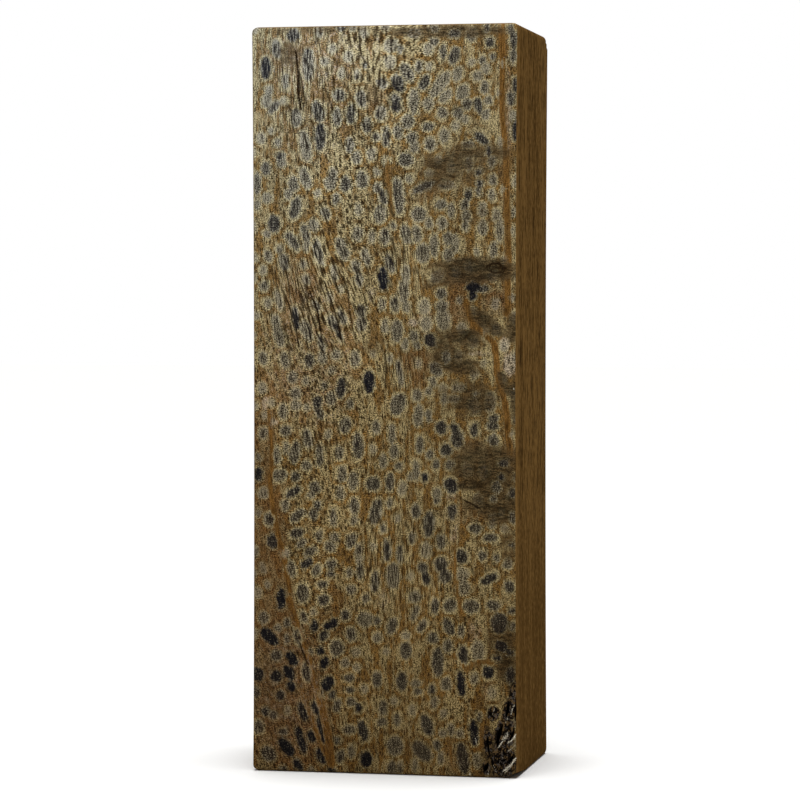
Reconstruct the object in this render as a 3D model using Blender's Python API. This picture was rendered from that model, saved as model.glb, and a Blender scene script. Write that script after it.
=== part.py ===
"""A figured hardwood block, sawn and sanded on all six sides, standing on one end.

The grain runs along Z. The figured face looks along -Y, and the base's middle is at the origin.
Lengths are in metres.
"""

import math

import bmesh
import bpy
from mathutils import Vector

MM = 0.001

LENGTH = 130 * MM
WIDTH = 47 * MM
THICKNESS = 32 * MM

# The two narrow sides are hollow by this much at mid height, as the wood dried after sawing.
SIDE_HOLLOW = 0.25 * MM
HOLLOW_LEVELS = 12

# The edges round the two ends are worn rounder than the four long ones.
END_EDGE_RADIUS = 1.0 * MM
LONG_EDGE_RADIUS = 0.35 * MM
EDGE_SEGMENTS = 4

# Each broken corner: which way it lies from the middle, and how far the break runs along X, Y and Z.
BROKEN_CORNERS = (
    ((1, -1, -1), (2.4 * MM, 13.0 * MM, 1.2 * MM)),
    ((1, 1, 1), (1.8 * MM, 2.8 * MM, 2.6 * MM)),
    ((-1, 1, -1), (1.4 * MM, 3.0 * MM, 2.0 * MM)),
)

# A small saw nick across the right side's top edge.
NICK_FROM_FRONT = 21.0 * MM
NICK_HALF_WIDTH = 0.5 * MM
NICK_DEPTH = 0.35 * MM
NICK_LENGTH = 1.0 * MM

# Open seams in the bark pocket at the figured face's lower right corner. Each is a path of
# (distance from the left edge, height) in mm along the face, with its widest opening and its depth.
POCKET_SEAMS = (
    (((43.4, 5.2), (43.8, 7.5), (44.7, 9.8)), 0.80 * MM, 1.3 * MM),
    (((44.8, 10.3), (45.3, 11.8), (45.5, 13.6)), 0.60 * MM, 1.0 * MM),
    (((45.5, 6.2), (46.1, 7.5), (46.6, 9.2)), 0.50 * MM, 0.9 * MM),
    (((45.2, 2.5), (45.9, 3.3), (46.5, 4.4)), 0.60 * MM, 1.0 * MM),
    (((41.2, 1.1), (41.6, 1.8), (41.9, 2.8)), 0.70 * MM, 1.0 * MM),
    (((42.2, 3.0), (41.9, 5.4), (41.6, 8.0)), 0.50 * MM, 0.6 * MM),
)
SEAM_STATIONS = 7
SEAM_PROUD = 0.5 * MM

# An edge is sawn where its faces meet near a right angle, and runs upright or level.
SAWN_EDGE_ANGLE = math.radians(75)
UPRIGHT = 0.99
LEVEL = 0.01

WOOD_COLOUR = (0.129, 0.093, 0.046, 1.0)
WOOD_ROUGHNESS = 0.62


def clear_scene():
    """Removes what the file came with."""
    for obj in list(bpy.data.objects):
        bpy.data.objects.remove(obj)


def make_object(name, bm):
    """Turns a bmesh into a named object in the scene, and frees the bmesh."""
    bm.normal_update()
    mesh = bpy.data.meshes.new(name)
    bm.to_mesh(mesh)
    bm.free()
    obj = bpy.data.objects.new(name, mesh)
    bpy.context.scene.collection.objects.link(obj)
    return obj


def wood_material():
    """Ochre brown wood, sanded but not polished."""
    material = bpy.data.materials.new("figured_wood")
    material.use_nodes = True
    shader = material.node_tree.nodes["Principled BSDF"]
    shader.inputs["Base Color"].default_value = WOOD_COLOUR
    shader.inputs["Roughness"].default_value = WOOD_ROUGHNESS
    shader.inputs["Metallic"].default_value = 0.0
    return material


def corner_point(side):
    """The square corner of the sawn block on that side of its middle."""
    return Vector((side[0] * WIDTH / 2, side[1] * THICKNESS / 2, LENGTH * (1 + side[2]) / 2))


def break_corner(bm, side, reach):
    """Breaks one corner off along the plane that meets its three edges at these distances."""
    corner = corner_point(side)
    ends = []
    for axis in range(3):
        end = corner.copy()
        end[axis] -= side[axis] * reach[axis]
        ends.append(end)
    normal = (ends[1] - ends[0]).cross(ends[2] - ends[0]).normalized()
    if normal.dot(corner - ends[0]) < 0:
        normal.negate()
    split = bmesh.ops.bisect_plane(
        bm, geom=bm.verts[:] + bm.edges[:] + bm.faces[:],
        plane_co=ends[0], plane_no=normal, clear_outer=True,
    )
    rim = [item for item in split["geom_cut"] if isinstance(item, bmesh.types.BMEdge)]
    bmesh.ops.contextual_create(bm, geom=rim)


def hollow_sides(bm):
    """Draws the two narrow sides in along a shallow arc, deepest at mid height."""
    for level in range(1, HOLLOW_LEVELS):
        bmesh.ops.bisect_plane(
            bm, geom=bm.verts[:] + bm.edges[:] + bm.faces[:],
            plane_co=(0, 0, LENGTH * level / HOLLOW_LEVELS), plane_no=(0, 0, 1),
        )
    for vert in bm.verts:
        height = vert.co.z / LENGTH
        inward = SIDE_HOLLOW * 4 * height * (1 - height)
        vert.co.x *= 1 - inward / (WIDTH / 2)


def mark_edges(bm):
    """Weights the sawn edges for rounding: the ends' edges fully, the long ones in proportion."""
    weight = bm.edges.layers.float.new("bevel_weight_edge")
    shortest_long = LENGTH / HOLLOW_LEVELS / 2
    for edge in bm.edges:
        if edge.calc_face_angle(0) < SAWN_EDGE_ANGLE:
            continue
        along = (edge.verts[1].co - edge.verts[0].co).normalized()
        if abs(along.z) > UPRIGHT and edge.calc_length() > shortest_long:
            edge[weight] = LONG_EDGE_RADIUS / END_EDGE_RADIUS
        elif abs(along.z) < LEVEL:
            edge[weight] = 1.0


def sawn_block():
    """The block with its hollow sides and broken corners, its edges marked for rounding."""
    bm = bmesh.new()
    bmesh.ops.create_cube(bm, size=1.0)
    bmesh.ops.scale(bm, vec=(WIDTH, THICKNESS, LENGTH), verts=bm.verts)
    bmesh.ops.translate(bm, vec=(0, 0, LENGTH / 2), verts=bm.verts)
    for side, reach in BROKEN_CORNERS:
        break_corner(bm, side, reach)
    hollow_sides(bm)
    mark_edges(bm)
    block = make_object("wood_block", bm)
    block.data.materials.append(wood_material())
    return block


def on_face(across, height, depth):
    """A point on or under the figured face, from its left edge and the base, depth metres in."""
    return Vector((across * MM - WIDTH / 2, depth - THICKNESS / 2, height * MM))


def quadratic(path, t):
    """The point at t of 0 to 1 on the curve that starts, bends and ends at the path's three points."""
    a, b, c = (Vector(point) for point in path)
    through = 2 * b - (a + c) / 2
    return a * (1 - t) ** 2 + through * 2 * t * (1 - t) + c * t ** 2


def seam_cutter(name, path, width, depth):
    """A boat-shaped cutter along the path: widest and deepest at its middle, pointed at its ends."""
    bm = bmesh.new()
    rings = []
    for i in range(SEAM_STATIONS + 2):
        t = i / (SEAM_STATIONS + 1)
        across, height = quadratic(path, t)
        ahead = quadratic(path, min(t + 0.01, 1)) - quadratic(path, max(t - 0.01, 0))
        side = Vector((-ahead.y, ahead.x)).normalized() * width / 2 / MM
        fullness = max(math.sin(math.pi * t), 0.08)
        left = Vector((across, height)) + side * fullness
        right = Vector((across, height)) - side * fullness
        rings.append([
            bm.verts.new(on_face(left.x, left.y, -SEAM_PROUD)),
            bm.verts.new(on_face(right.x, right.y, -SEAM_PROUD)),
            bm.verts.new(on_face(across, height, depth * fullness)),
        ])
    for near, far in zip(rings, rings[1:]):
        for i in range(3):
            j = (i + 1) % 3
            bm.faces.new((near[i], near[j], far[j], far[i]))
    bm.faces.new(rings[0])
    bm.faces.new(reversed(rings[-1]))
    return make_cutter(name, bm)


def nick_cutter():
    """A wedge that cuts the nick into the right side's top edge."""
    middle = NICK_FROM_FRONT - THICKNESS / 2
    above = LENGTH + NICK_DEPTH
    outside = WIDTH / 2 + NICK_LENGTH
    inside = WIDTH / 2 - NICK_LENGTH
    points = [
        (outside, middle - NICK_HALF_WIDTH, above),
        (outside, middle + NICK_HALF_WIDTH, above),
        (outside, middle, LENGTH - 2 * NICK_DEPTH),
        (inside, middle - NICK_HALF_WIDTH, above),
        (inside, middle + NICK_HALF_WIDTH, above),
        (inside, middle, LENGTH - NICK_DEPTH / 4),
    ]
    bm = bmesh.new()
    verts = [bm.verts.new(point) for point in points]
    for corners in ((0, 1, 2), (5, 4, 3), (1, 0, 3, 4), (2, 1, 4, 5), (0, 2, 5, 3)):
        bm.faces.new([verts[i] for i in corners])
    return make_cutter("nick_cutter", bm)


def make_cutter(name, bm):
    """A helper object that cuts and isn't part of the model."""
    bmesh.ops.recalc_face_normals(bm, faces=bm.faces)
    cutter = make_object(name, bm)
    cutter.hide_render = True
    cutter.display_type = "WIRE"
    return cutter


def add_edge_rounding(block):
    """The sanded edges, as a bevel that follows the edges' weights."""
    bevel = block.modifiers.new("worn edges", "BEVEL")
    bevel.limit_method = "WEIGHT"
    bevel.width = END_EDGE_RADIUS
    bevel.segments = EDGE_SEGMENTS
    bevel.use_clamp_overlap = True


def cut(block, cutter):
    """Takes the cutter's shape out of the block."""
    boolean = block.modifiers.new(cutter.name, "BOOLEAN")
    boolean.operation = "DIFFERENCE"
    boolean.object = cutter
    boolean.solver = "EXACT"


def main():
    clear_scene()
    block = sawn_block()
    add_edge_rounding(block)
    cut(block, nick_cutter())
    for i, (path, width, depth) in enumerate(POCKET_SEAMS):
        cut(block, seam_cutter(f"seam_cutter_{i + 1}", path, width, depth))


main()
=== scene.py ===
"""The looks of a spalted guava wood block: its figure, its bark pocket, the floor, light and camera.

Lengths inside the classes are in millimetres on the block's own faces, and become metres in the meshes.
Places read off the photograph are in its pixels, and become millimetres in PhotoFace.
"""

import logging
import math
from dataclasses import dataclass, field, replace
from enum import Enum
from functools import partial

import bmesh
import bpy
import numpy as np
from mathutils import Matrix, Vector, noise


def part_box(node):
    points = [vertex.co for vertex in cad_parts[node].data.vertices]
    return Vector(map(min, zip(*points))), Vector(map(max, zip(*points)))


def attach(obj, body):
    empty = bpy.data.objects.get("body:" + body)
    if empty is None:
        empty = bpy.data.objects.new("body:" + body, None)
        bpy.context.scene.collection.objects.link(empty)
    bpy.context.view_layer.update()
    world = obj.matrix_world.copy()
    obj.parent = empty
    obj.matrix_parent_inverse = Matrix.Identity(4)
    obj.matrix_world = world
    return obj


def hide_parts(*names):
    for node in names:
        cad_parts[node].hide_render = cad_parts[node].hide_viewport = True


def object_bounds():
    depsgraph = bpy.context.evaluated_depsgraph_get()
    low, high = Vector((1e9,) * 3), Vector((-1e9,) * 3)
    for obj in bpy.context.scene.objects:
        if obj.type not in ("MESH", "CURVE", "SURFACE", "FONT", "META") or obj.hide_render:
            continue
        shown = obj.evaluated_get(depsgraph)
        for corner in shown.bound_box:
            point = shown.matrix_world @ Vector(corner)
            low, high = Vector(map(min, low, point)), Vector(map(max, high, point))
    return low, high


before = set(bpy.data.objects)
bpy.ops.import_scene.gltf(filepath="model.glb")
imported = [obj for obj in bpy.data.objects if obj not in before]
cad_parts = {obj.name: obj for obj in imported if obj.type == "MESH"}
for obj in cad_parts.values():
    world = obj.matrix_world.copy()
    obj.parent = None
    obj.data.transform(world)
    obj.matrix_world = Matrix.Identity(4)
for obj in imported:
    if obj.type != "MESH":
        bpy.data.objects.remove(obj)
CAD_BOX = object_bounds()

MM = 0.001
LOG = logging.getLogger("wood_block")

Socket = bpy.types.NodeSocket
# Every noise's roughness, and the mix node's sockets for two colours and their blend.
NOISE_ROUGHNESS = 0.6
MIX_FIRST, MIX_SECOND, MIX_RESULT = 6, 7, 2

# Seeds for the small spots in the gaps of the front and of the back.
FRONT_SEED, BACK_SEED = 7, 11


def linear(red: int, green: int, blue: int) -> tuple[float, float, float, float]:
    """A colour named as it looks on a screen, from 0 to 255, as the linear colour that shaders take.

    Args:
        red: The red part.
        green: The green part.
        blue: The blue part.

    Returns:
        The linear colour with full alpha.
    """
    parts = [part / 255 for part in (red, green, blue)]
    bent = [part / 12.92 if part <= 0.04045 else ((part + 0.055) / 1.055) ** 2.4 for part in parts]
    return (*bent, 1.0)


def smooth(value: np.ndarray, low: float, high: float) -> np.ndarray:
    """Rises smoothly from 0 at low to 1 at high, or falls where low is above high."""
    share = np.clip((value - low) / (high - low), 0, 1)
    return share * share * (3 - 2 * share)


class Side(Enum):
    """The kinds of surface the block has, with the value that its mesh carries for each."""

    FIGURED = 0
    PLAIN = 1
    END = 2


@dataclass(frozen=True)
class Spot:
    """One oval fungus spot of the figure.

    Attributes:
        across: Its middle, in mm from the face's left edge.
        up: Its middle, in mm above the base.
        wide: Its whole width in mm.
        tall: Its whole height in mm.
        dark: From 0, pale grey, to 1, blue black.
        halo: How strong its cream rim is, from 0 to 1.
        lean: How far its top leans to the left, in degrees.
    """

    across: float
    up: float
    wide: float
    tall: float
    dark: float
    halo: float = 0.4
    lean: float = 0.0

    def distance(self, across: np.ndarray, up: np.ndarray) -> np.ndarray:
        """Measures how far places lie from the spot's edge.

        Args:
            across: Distances from the left edge, in mm.
            up: Heights, in mm.

        Returns:
            The distances in mm, negative inside the spot.
        """
        turn = math.radians(self.lean)
        dx, dz = across - self.across, up - self.up
        x = dx * math.cos(turn) + dz * math.sin(turn)
        z = dz * math.cos(turn) - dx * math.sin(turn)
        half_wide, half_tall = self.wide / 2, self.tall / 2
        reach = np.hypot(x / half_wide, z / half_tall)
        steep = np.hypot(x / half_wide ** 2, z / half_tall ** 2) + 1e-9
        return np.where(reach < 1e-6, -min(half_wide, half_tall), reach * (reach - 1) / steep)


@dataclass(frozen=True)
class Bend:
    """A place where the grain leans: its middle, its reach across and up in mm, and the lean in degrees."""

    across: float
    up: float
    reach_across: float
    reach_up: float
    lean: float


@dataclass(frozen=True)
class Patch:
    """A soft-edged oval of stain.

    Attributes:
        across: Its middle, in mm from the face's left edge.
        up: Its middle, in mm above the base.
        half_wide: Its half width in mm.
        half_tall: Its half height in mm.
        strength: How strong the stain is.
        lean: How far its top leans to the left, in degrees.
    """

    across: float
    up: float
    half_wide: float
    half_tall: float
    strength: float
    lean: float = 0.0

    def cover(self, across: np.ndarray, up: np.ndarray) -> np.ndarray:
        """Tells how far places lie under the patch.

        Args:
            across: Distances from the left edge, in mm.
            up: Heights, in mm.

        Returns:
            Values from 0, outside it, to 1.
        """
        turn = math.radians(self.lean)
        dx, dz = across - self.across, up - self.up
        x = (dx * math.cos(turn) + dz * math.sin(turn)) / self.half_wide
        z = (dz * math.cos(turn) - dx * math.sin(turn)) / self.half_tall
        return smooth(np.hypot(x, z), 1.45, 0.45)


@dataclass(frozen=True)
class Streak:
    """A stained line along points on the face, in mm, with its half width and strength."""

    points: tuple[tuple[float, float], ...]
    half_width: float
    strength: float = 1.0

    def offset(self, across: np.ndarray, up: np.ndarray) -> tuple[np.ndarray, np.ndarray]:
        """How far each place lies from the line.

        Args:
            across: Distances from the left edge, in mm.
            up: Heights, in mm.

        Returns:
            The distance in mm, and the same distance with a sign that tells the line's two sides apart.
        """
        nearest = np.full(across.shape, 1e3)
        signed = np.full(across.shape, 1e3)
        for (x0, z0), (x1, z1) in zip(self.points, self.points[1:]):
            run = math.hypot(x1 - x0, z1 - z0)
            along = ((across - x0) * (x1 - x0) + (up - z0) * (z1 - z0)) / run
            past = along - np.clip(along, 0, run)
            aside = ((across - x0) * (z1 - z0) - (up - z0) * (x1 - x0)) / run
            distance = np.hypot(aside, past)
            closer = distance < nearest
            nearest = np.where(closer, distance, nearest)
            signed = np.where(closer, np.copysign(distance, aside), signed)
        return nearest, signed


class PhotoFace:
    """Turns what was read off the 800 pixel photograph into millimetres on the figured face."""

    # The face's left and right edge, and where its top and base meet the left one, in pixels. The
    # slopes are how many rows they sink for each pixel to the right.
    LEFT = 251.8
    RIGHT = 517.6
    TOP_LEFT = 28.4
    TOP_SLOPE = -0.0268
    BASE_LEFT = 772.0
    BASE_SLOPE = 0.0239

    def __init__(self, width: float, length: float) -> None:
        """Keeps the face's real size.

        Args:
            width: Its width in mm.
            length: Its height in mm.
        """
        self.width = width
        self.length = length
        self.pixels = (self.RIGHT - self.LEFT) / width

    def place(self, column: float, row: float) -> tuple[float, float]:
        """The place of one photograph point on the face.

        Args:
            column: The point's distance from the photograph's left edge, in pixels.
            row: The point's distance from its top edge, in pixels.

        Returns:
            The distance from the face's left edge and the height above the base, in mm.
        """
        top = self.TOP_LEFT + self.TOP_SLOPE * (column - self.LEFT)
        base = self.BASE_LEFT + self.BASE_SLOPE * (column - self.LEFT)
        across = (column - self.LEFT) / self.pixels
        return across, self.length * (base - row) / (base - top)

    def ovals(self, kind: type, readings: tuple) -> list:
        """Ovals of this kind, read as column, row, two sizes and what else the kind holds."""
        return [
            kind(*self.place(column, row), wide / self.pixels, tall / self.pixels, *rest)
            for column, row, wide, tall, *rest in readings
        ]

    def streaks(self, readings: tuple) -> list[Streak]:
        """Streaks read as a half width, a strength and then the line's points."""
        return [
            Streak(tuple(self.place(*point) for point in points), half_width / self.pixels, strength)
            for half_width, strength, *points in readings
        ]


# Spots in the photograph, from the top down: column, row, width, height and darkness, and where they
# aren't a spot's usual ones, its halo and its lean.
TOP_SPOTS = (
    (294, 36, 11, 12, 0.75, 0.3), (277, 50, 8, 17, 0.6, 0.3, 10), (266, 69, 9, 21, 0.85),
    (309, 65, 10, 30, 0.5, 0.3), (308, 55, 6, 10, 0.7, 0.2), (342, 28, 7, 6, 0.7), (354, 28, 5, 5, 0.5),
    (326, 62, 6, 6, 0.3), (319, 112, 10, 20, 0.6, 0.4, 15), (340, 95, 11, 10, 0.5, 0.5),
    (352, 114, 7, 17, 0.7, 0.9), (362, 98, 9, 16, 0.5, 0.5, 10), (338, 117, 7, 15, 0.5, 0.6),
    (297, 118, 9, 16, 0.45), (321, 137, 9, 26, 0.75), (306, 146, 9, 28, 0.25, 0.5, 10),
    (368, 125, 7, 14, 0.5, 0.5), (377, 136, 6, 7, 0.4, 0.9), (351, 145, 7, 14, 0.55, 0.5),
    (278, 143, 5, 6, 0.4), (281, 157, 8, 8, 0.6), (357, 157, 8, 10, 0.4, 0.5), (269, 92, 6, 9, 0.45),
    (267, 102, 8, 12, 0.35), (274, 108, 6, 14, 0.55, 0.3, -40), (383, 83, 9, 9, 0.55),
    (382, 113, 10, 13, 0.4, 0.5), (286, 82, 5, 14, 0.4, 0.3), (358, 75, 4, 8, 0.4), (366, 65, 4, 4, 0.7, 0.3),
    (401, 49, 6, 7, 0.6), (392, 45, 12, 12, 0.3, 0.5), (391, 62, 10, 12, 0.1, 0.6),
    (408, 72, 9, 18, 0.5, 0.8, 30), (399, 83, 10, 17, 0.75, 0.8, 20), (420, 66, 6, 10, 0.5, 0.5),
    (430, 66, 5, 6, 0.2, 0.5), (429, 49, 8, 9, 0.3, 0.8), (444, 51, 5, 14, 0.6),
    (455, 55, 9, 16, 0.65, 0.4, -15), (458, 73, 8, 13, 0.4, 0.5, -15), (425, 82, 8, 14, 0.7, 0.7, -30),
    (441, 84, 10, 28, 0.3, 0.5, -38), (446, 95, 8, 14, 0.3, 0.5, -40), (463, 91, 10, 14, 0.4, 0.6, -20),
    (478, 75, 9, 8, 0.4, 0.5), (486, 67, 6, 9, 0.4, 0.5), (485, 86, 6, 12, 0.55, 0.5),
    (483, 59, 5, 7, 0.6, 0.5), (493, 56, 3, 5, 0.8, 0.3), (490, 41, 7, 9, 0.75, 0.7), (487, 27, 4, 8, 0.7),
    (455, 33, 10, 7, 0.75), (415, 33, 12, 8, 0.55, 0.5), (435, 28, 8, 5, 0.6), (435, 41, 8, 6, 0.6),
    (472, 34, 9, 12, 0.45, 0.5), (397, 103, 9, 17, 0.75, 0.6, 15), (415, 101, 8, 22, 0.4, 0.7),
    (429, 103, 8, 10, 0.3, 0.5), (409, 121, 11, 12, 0.45, 0.9), (429, 126, 10, 7, 0.65, 0.8),
    (399, 131, 8, 11, 0.5, 0.6), (387, 136, 6, 17, 0.6, 0.5), (413, 137, 9, 9, 0.55, 0.7),
    (415, 146, 7, 10, 0.45, 0.5), (431, 143, 9, 12, 0.5, 0.5), (445, 135, 8, 12, 0.35, 0.5),
    (443, 112, 8, 9, 0.5, 0.5), (459, 112, 9, 9, 0.55, 0.5), (465, 118, 6, 7, 0.3, 0.5),
    (456, 125, 6, 7, 0.2, 0.9), (468, 103, 8, 9, 0.55, 0.5), (479, 104, 7, 14, 0.8, 0.5, 15),
    (489, 99, 6, 8, 0.5, 0.5), (486, 113, 7, 10, 0.45, 0.5), (482, 137, 7, 16, 0.8, 0.4, 50),
    (469, 143, 10, 5, 0.5, 0.3), (489, 150, 4, 10, 0.85, 0.5), (513, 38, 5, 16, 0.75), (510, 28, 4, 8, 0.7),
    (513, 54, 5, 14, 0.6), (515, 83, 4, 12, 0.8, 0.3), (511, 97, 6, 12, 0.7), (513, 114, 5, 8, 0.4),
    (515, 129, 5, 18, 0.85, 0.3),
)
UPPER_SPOTS = (
    (282, 163, 8, 8, 0.35), (266, 169, 7, 12, 0.6, 0.5), (257, 184, 6, 20, 0.55),
    (294, 184, 8, 14, 0.45, 0.6, 10), (289, 194, 6, 9, 0.3, 0.6), (306, 178, 8, 20, 0.4, 0.7, 20),
    (331, 183, 10, 12, 0.45), (334, 174, 6, 12, 0.45, 0.5), (347, 184, 9, 13, 0.65, 0.9),
    (363, 179, 9, 16, 0.5, 0.8), (379, 187, 7, 8, 0.5, 0.5), (384, 196, 6, 14, 0.65, 0.8, 15),
    (337, 199, 6, 9, 0.6, 0.5), (267, 198, 9, 8, 0.3), (257, 205, 5, 8, 0.4),
    (296, 208, 9, 20, 0.65, 0.9, -15), (326, 213, 7, 12, 0.5, 0.4, 25), (274, 224, 11, 16, 0.75),
    (267, 234, 6, 5, 0.5, 0.3), (306, 234, 6, 18, 0.55, 0.7, 15), (314, 225, 9, 10, 0.35, 0.5),
    (293, 241, 7, 20, 0.55, 0.9, 35), (280, 249, 6, 7, 0.4, 0.5), (284, 262, 8, 16, 0.5, 0.4, 10),
    (319, 252, 7, 25, 0.6, 0.8, 15), (307, 245, 5, 10, 0.3, 0.6), (268, 256, 6, 10, 0.4, 0.5, 15),
    (263, 270, 5, 8, 0.3, 0.7), (264, 286, 7, 8, 0.55, 0.9), (343, 248, 10, 22, 0.45, 0.4, 20),
    (359, 233, 9, 12, 0.25, 0.5), (381, 213, 11, 16, 0.4, 0.7, -10), (373, 236, 5, 10, 0.2, 0.5),
    (386, 236, 8, 14, 0.4, 0.5), (357, 265, 8, 10, 0.45, 0.6), (360, 278, 7, 14, 0.45, 0.4, 10),
    (367, 256, 6, 16, 0.35, 0.4, 15), (384, 277, 9, 21, 1.0, 0.4, 5), (335, 273, 5, 14, 0.4, 0.4, 10),
    (407, 159, 13, 12, 0.6, 0.9), (399, 195, 10, 34, 0.55, 0.9, 5), (410, 178, 6, 6, 0.3, 0.8),
    (424, 186, 21, 6, 0.7, 0.4, 25), (470, 162, 5, 12, 0.5), (479, 171, 5, 7, 0.75, 0.5, -25),
    (480, 182, 5, 8, 0.85), (479, 190, 4, 7, 0.65), (469, 193, 6, 10, 0.75, 0.5),
    (465, 203, 6, 10, 0.5, 0.6, -20), (442, 203, 10, 8, 0.55, 0.2), (448, 184, 14, 6, 0.45, 0.2),
    (420, 213, 13, 13, 0.5, 0.7), (430, 222, 6, 9, 0.45, 0.6), (443, 222, 8, 10, 0.4, 0.7),
    (452, 209, 6, 12, 0.4), (449, 237, 8, 12, 0.55, 0.5), (455, 242, 8, 16, 0.35, 0.5),
    (467, 215, 7, 10, 0.5), (466, 224, 5, 8, 0.5), (483, 208, 6, 14, 0.35), (483, 226, 8, 14, 0.4),
    (492, 160, 6, 10, 0.6, 0.5), (493, 178, 6, 9, 0.6), (492, 193, 5, 10, 0.45), (497, 213, 6, 10, 0.3, 1.0),
    (500, 228, 6, 20, 0.3), (494, 248, 6, 14, 0.55), (418, 233, 7, 16, 0.45, 0.9, 10),
    (435, 244, 6, 20, 0.5, 0.9), (449, 253, 8, 12, 0.5, 0.6), (407, 233, 8, 18, 0.5, 0.5, 15),
    (424, 252, 12, 18, 0.45, 0.5), (394, 225, 4, 6, 0.5, 0.5), (391, 262, 7, 18, 0.6, 0.4, 20),
    (407, 272, 6, 16, 0.4, 0.6), (438, 275, 13, 9, 0.5, 0.5, 35),
)
MIDDLE_SPOTS = (
    (474, 285, 13, 9, 1.0, 0.2), (473, 293, 7, 9, 1.0, 0.2), (484, 287, 10, 5, 0.8, 0.1, 10),
    (442, 292, 8, 10, 0.65), (396, 303, 7, 14, 0.55, 0.9, 5), (405, 290, 8, 22, 0.45, 0.5),
    (407, 305, 6, 10, 0.45, 0.6), (383, 303, 5, 10, 0.35, 0.5), (425, 305, 9, 13, 0.15, 0.9),
    (443, 305, 10, 12, 0.5, 0.5), (444, 318, 12, 20, 0.4, 0.7, 10), (427, 322, 8, 12, 0.2, 0.9),
    (398, 330, 10, 20, 0.5), (386, 325, 6, 12, 0.35, 0.6), (415, 335, 7, 10, 0.55, 0.9, 5),
    (418, 344, 5, 6, 0.5), (431, 339, 10, 13, 0.9, 0.7, 25), (406, 343, 5, 10, 0.4, 0.5),
    (447, 356, 7, 12, 0.65), (437, 368, 9, 14, 0.6, 0.5, 40), (401, 372, 5, 24, 0.5, 0.4, 10),
    (434, 380, 6, 8, 0.5, 0.9), (444, 386, 6, 5, 0.4, 0.8), (430, 390, 5, 6, 0.55, 0.7),
    (418, 394, 8, 10, 0.5, 0.6), (445, 397, 5, 10, 0.6, 0.6), (420, 410, 7, 12, 0.5),
    (399, 403, 13, 21, 0.6, 0.6, -15), (429, 412, 6, 6, 0.6, 0.5), (459, 386, 12, 6, 0.55, 0.3),
    (455, 397, 10, 6, 0.55, 0.3), (477, 392, 5, 4, 0.65, 0.3), (475, 404, 8, 14, 0.4, 0.3, 10),
    (491, 400, 8, 18, 0.4, 0.6), (296, 318, 6, 22, 0.85, 0.3, 10), (307, 330, 8, 20, 0.45, 0.6, 20),
    (276, 322, 7, 14, 0.4, 0.4, 15), (279, 300, 5, 18, 0.4, 0.4, 15), (268, 303, 5, 8, 0.35, 0.6),
    (322, 343, 5, 16, 0.6, 0.5, 15), (317, 305, 5, 10, 0.6, 0.3, 30), (334, 322, 8, 15, 0.65, 0.5, 30),
    (340, 333, 4, 14, 0.75, 0.4, 20), (343, 316, 6, 14, 0.65, 0.5, 25), (362, 311, 8, 12, 0.55, 0.5),
    (362, 323, 9, 13, 0.5, 0.5), (279, 335, 8, 22, 0.4, 0.4, 15), (263, 358, 7, 12, 0.5, 0.7, 10),
    (285, 360, 7, 14, 0.45, 0.5, 10), (310, 360, 8, 12, 0.65, 0.7), (323, 357, 7, 10, 0.45, 0.5),
    (337, 354, 7, 8, 0.45, 0.5), (356, 358, 8, 14, 0.5, 0.6), (370, 381, 10, 21, 1.0, 0.7),
    (342, 387, 8, 19, 0.8, 0.4, -10), (325, 385, 5, 6, 0.5), (332, 398, 8, 12, 0.45, 0.5),
    (318, 402, 8, 12, 0.8), (320, 413, 6, 10, 0.65, 0.3, 30), (351, 403, 5, 8, 0.55, 0.5),
    (296, 393, 9, 10, 0.4, 0.5), (296, 405, 9, 8, 0.4, 0.5), (283, 411, 7, 14, 0.5, 0.6),
    (262, 388, 7, 10, 0.3), (293, 377, 8, 10, 0.4, 0.3), (307, 407, 5, 5, 0.3, 0.5),
    (286, 430, 10, 9, 0.6, 0.5), (263, 433, 8, 10, 0.35, 0.5), (308, 438, 8, 18, 0.55, 0.7, 10),
    (295, 452, 9, 20, 0.55, 0.5, -10), (286, 447, 4, 10, 0.3), (276, 455, 8, 16, 0.45, 1.0, 5),
    (258, 457, 4, 6, 0.5, 0.3), (346, 424, 10, 14, 0.55, 0.5, -10), (320, 455, 6, 22, 0.5),
    (359, 445, 9, 24, 0.65, 0.5, 5), (307, 465, 8, 8, 0.45, 0.6), (340, 452, 8, 12, 0.45, 0.5),
    (377, 426, 7, 12, 0.45), (384, 460, 6, 12, 0.35, 0.5), (494, 417, 8, 9, 0.7, 0.5), (419, 417, 7, 14, 0.5),
    (430, 417, 4, 5, 0.7, 0.3), (393, 433, 5, 18, 0.5), (395, 450, 7, 14, 0.5, 0.6),
    (442, 426, 10, 12, 0.8, 0.6), (455, 426, 7, 7, 0.85, 0.9), (458, 437, 11, 17, 0.75, 1.0),
    (475, 428, 7, 12, 0.75, 0.8), (493, 424, 10, 7, 0.7, 0.6), (494, 438, 9, 11, 0.7, 0.6, 30),
    (421, 443, 6, 16, 0.6, 0.5), (447, 448, 10, 11, 0.8, 0.5),
)
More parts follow.
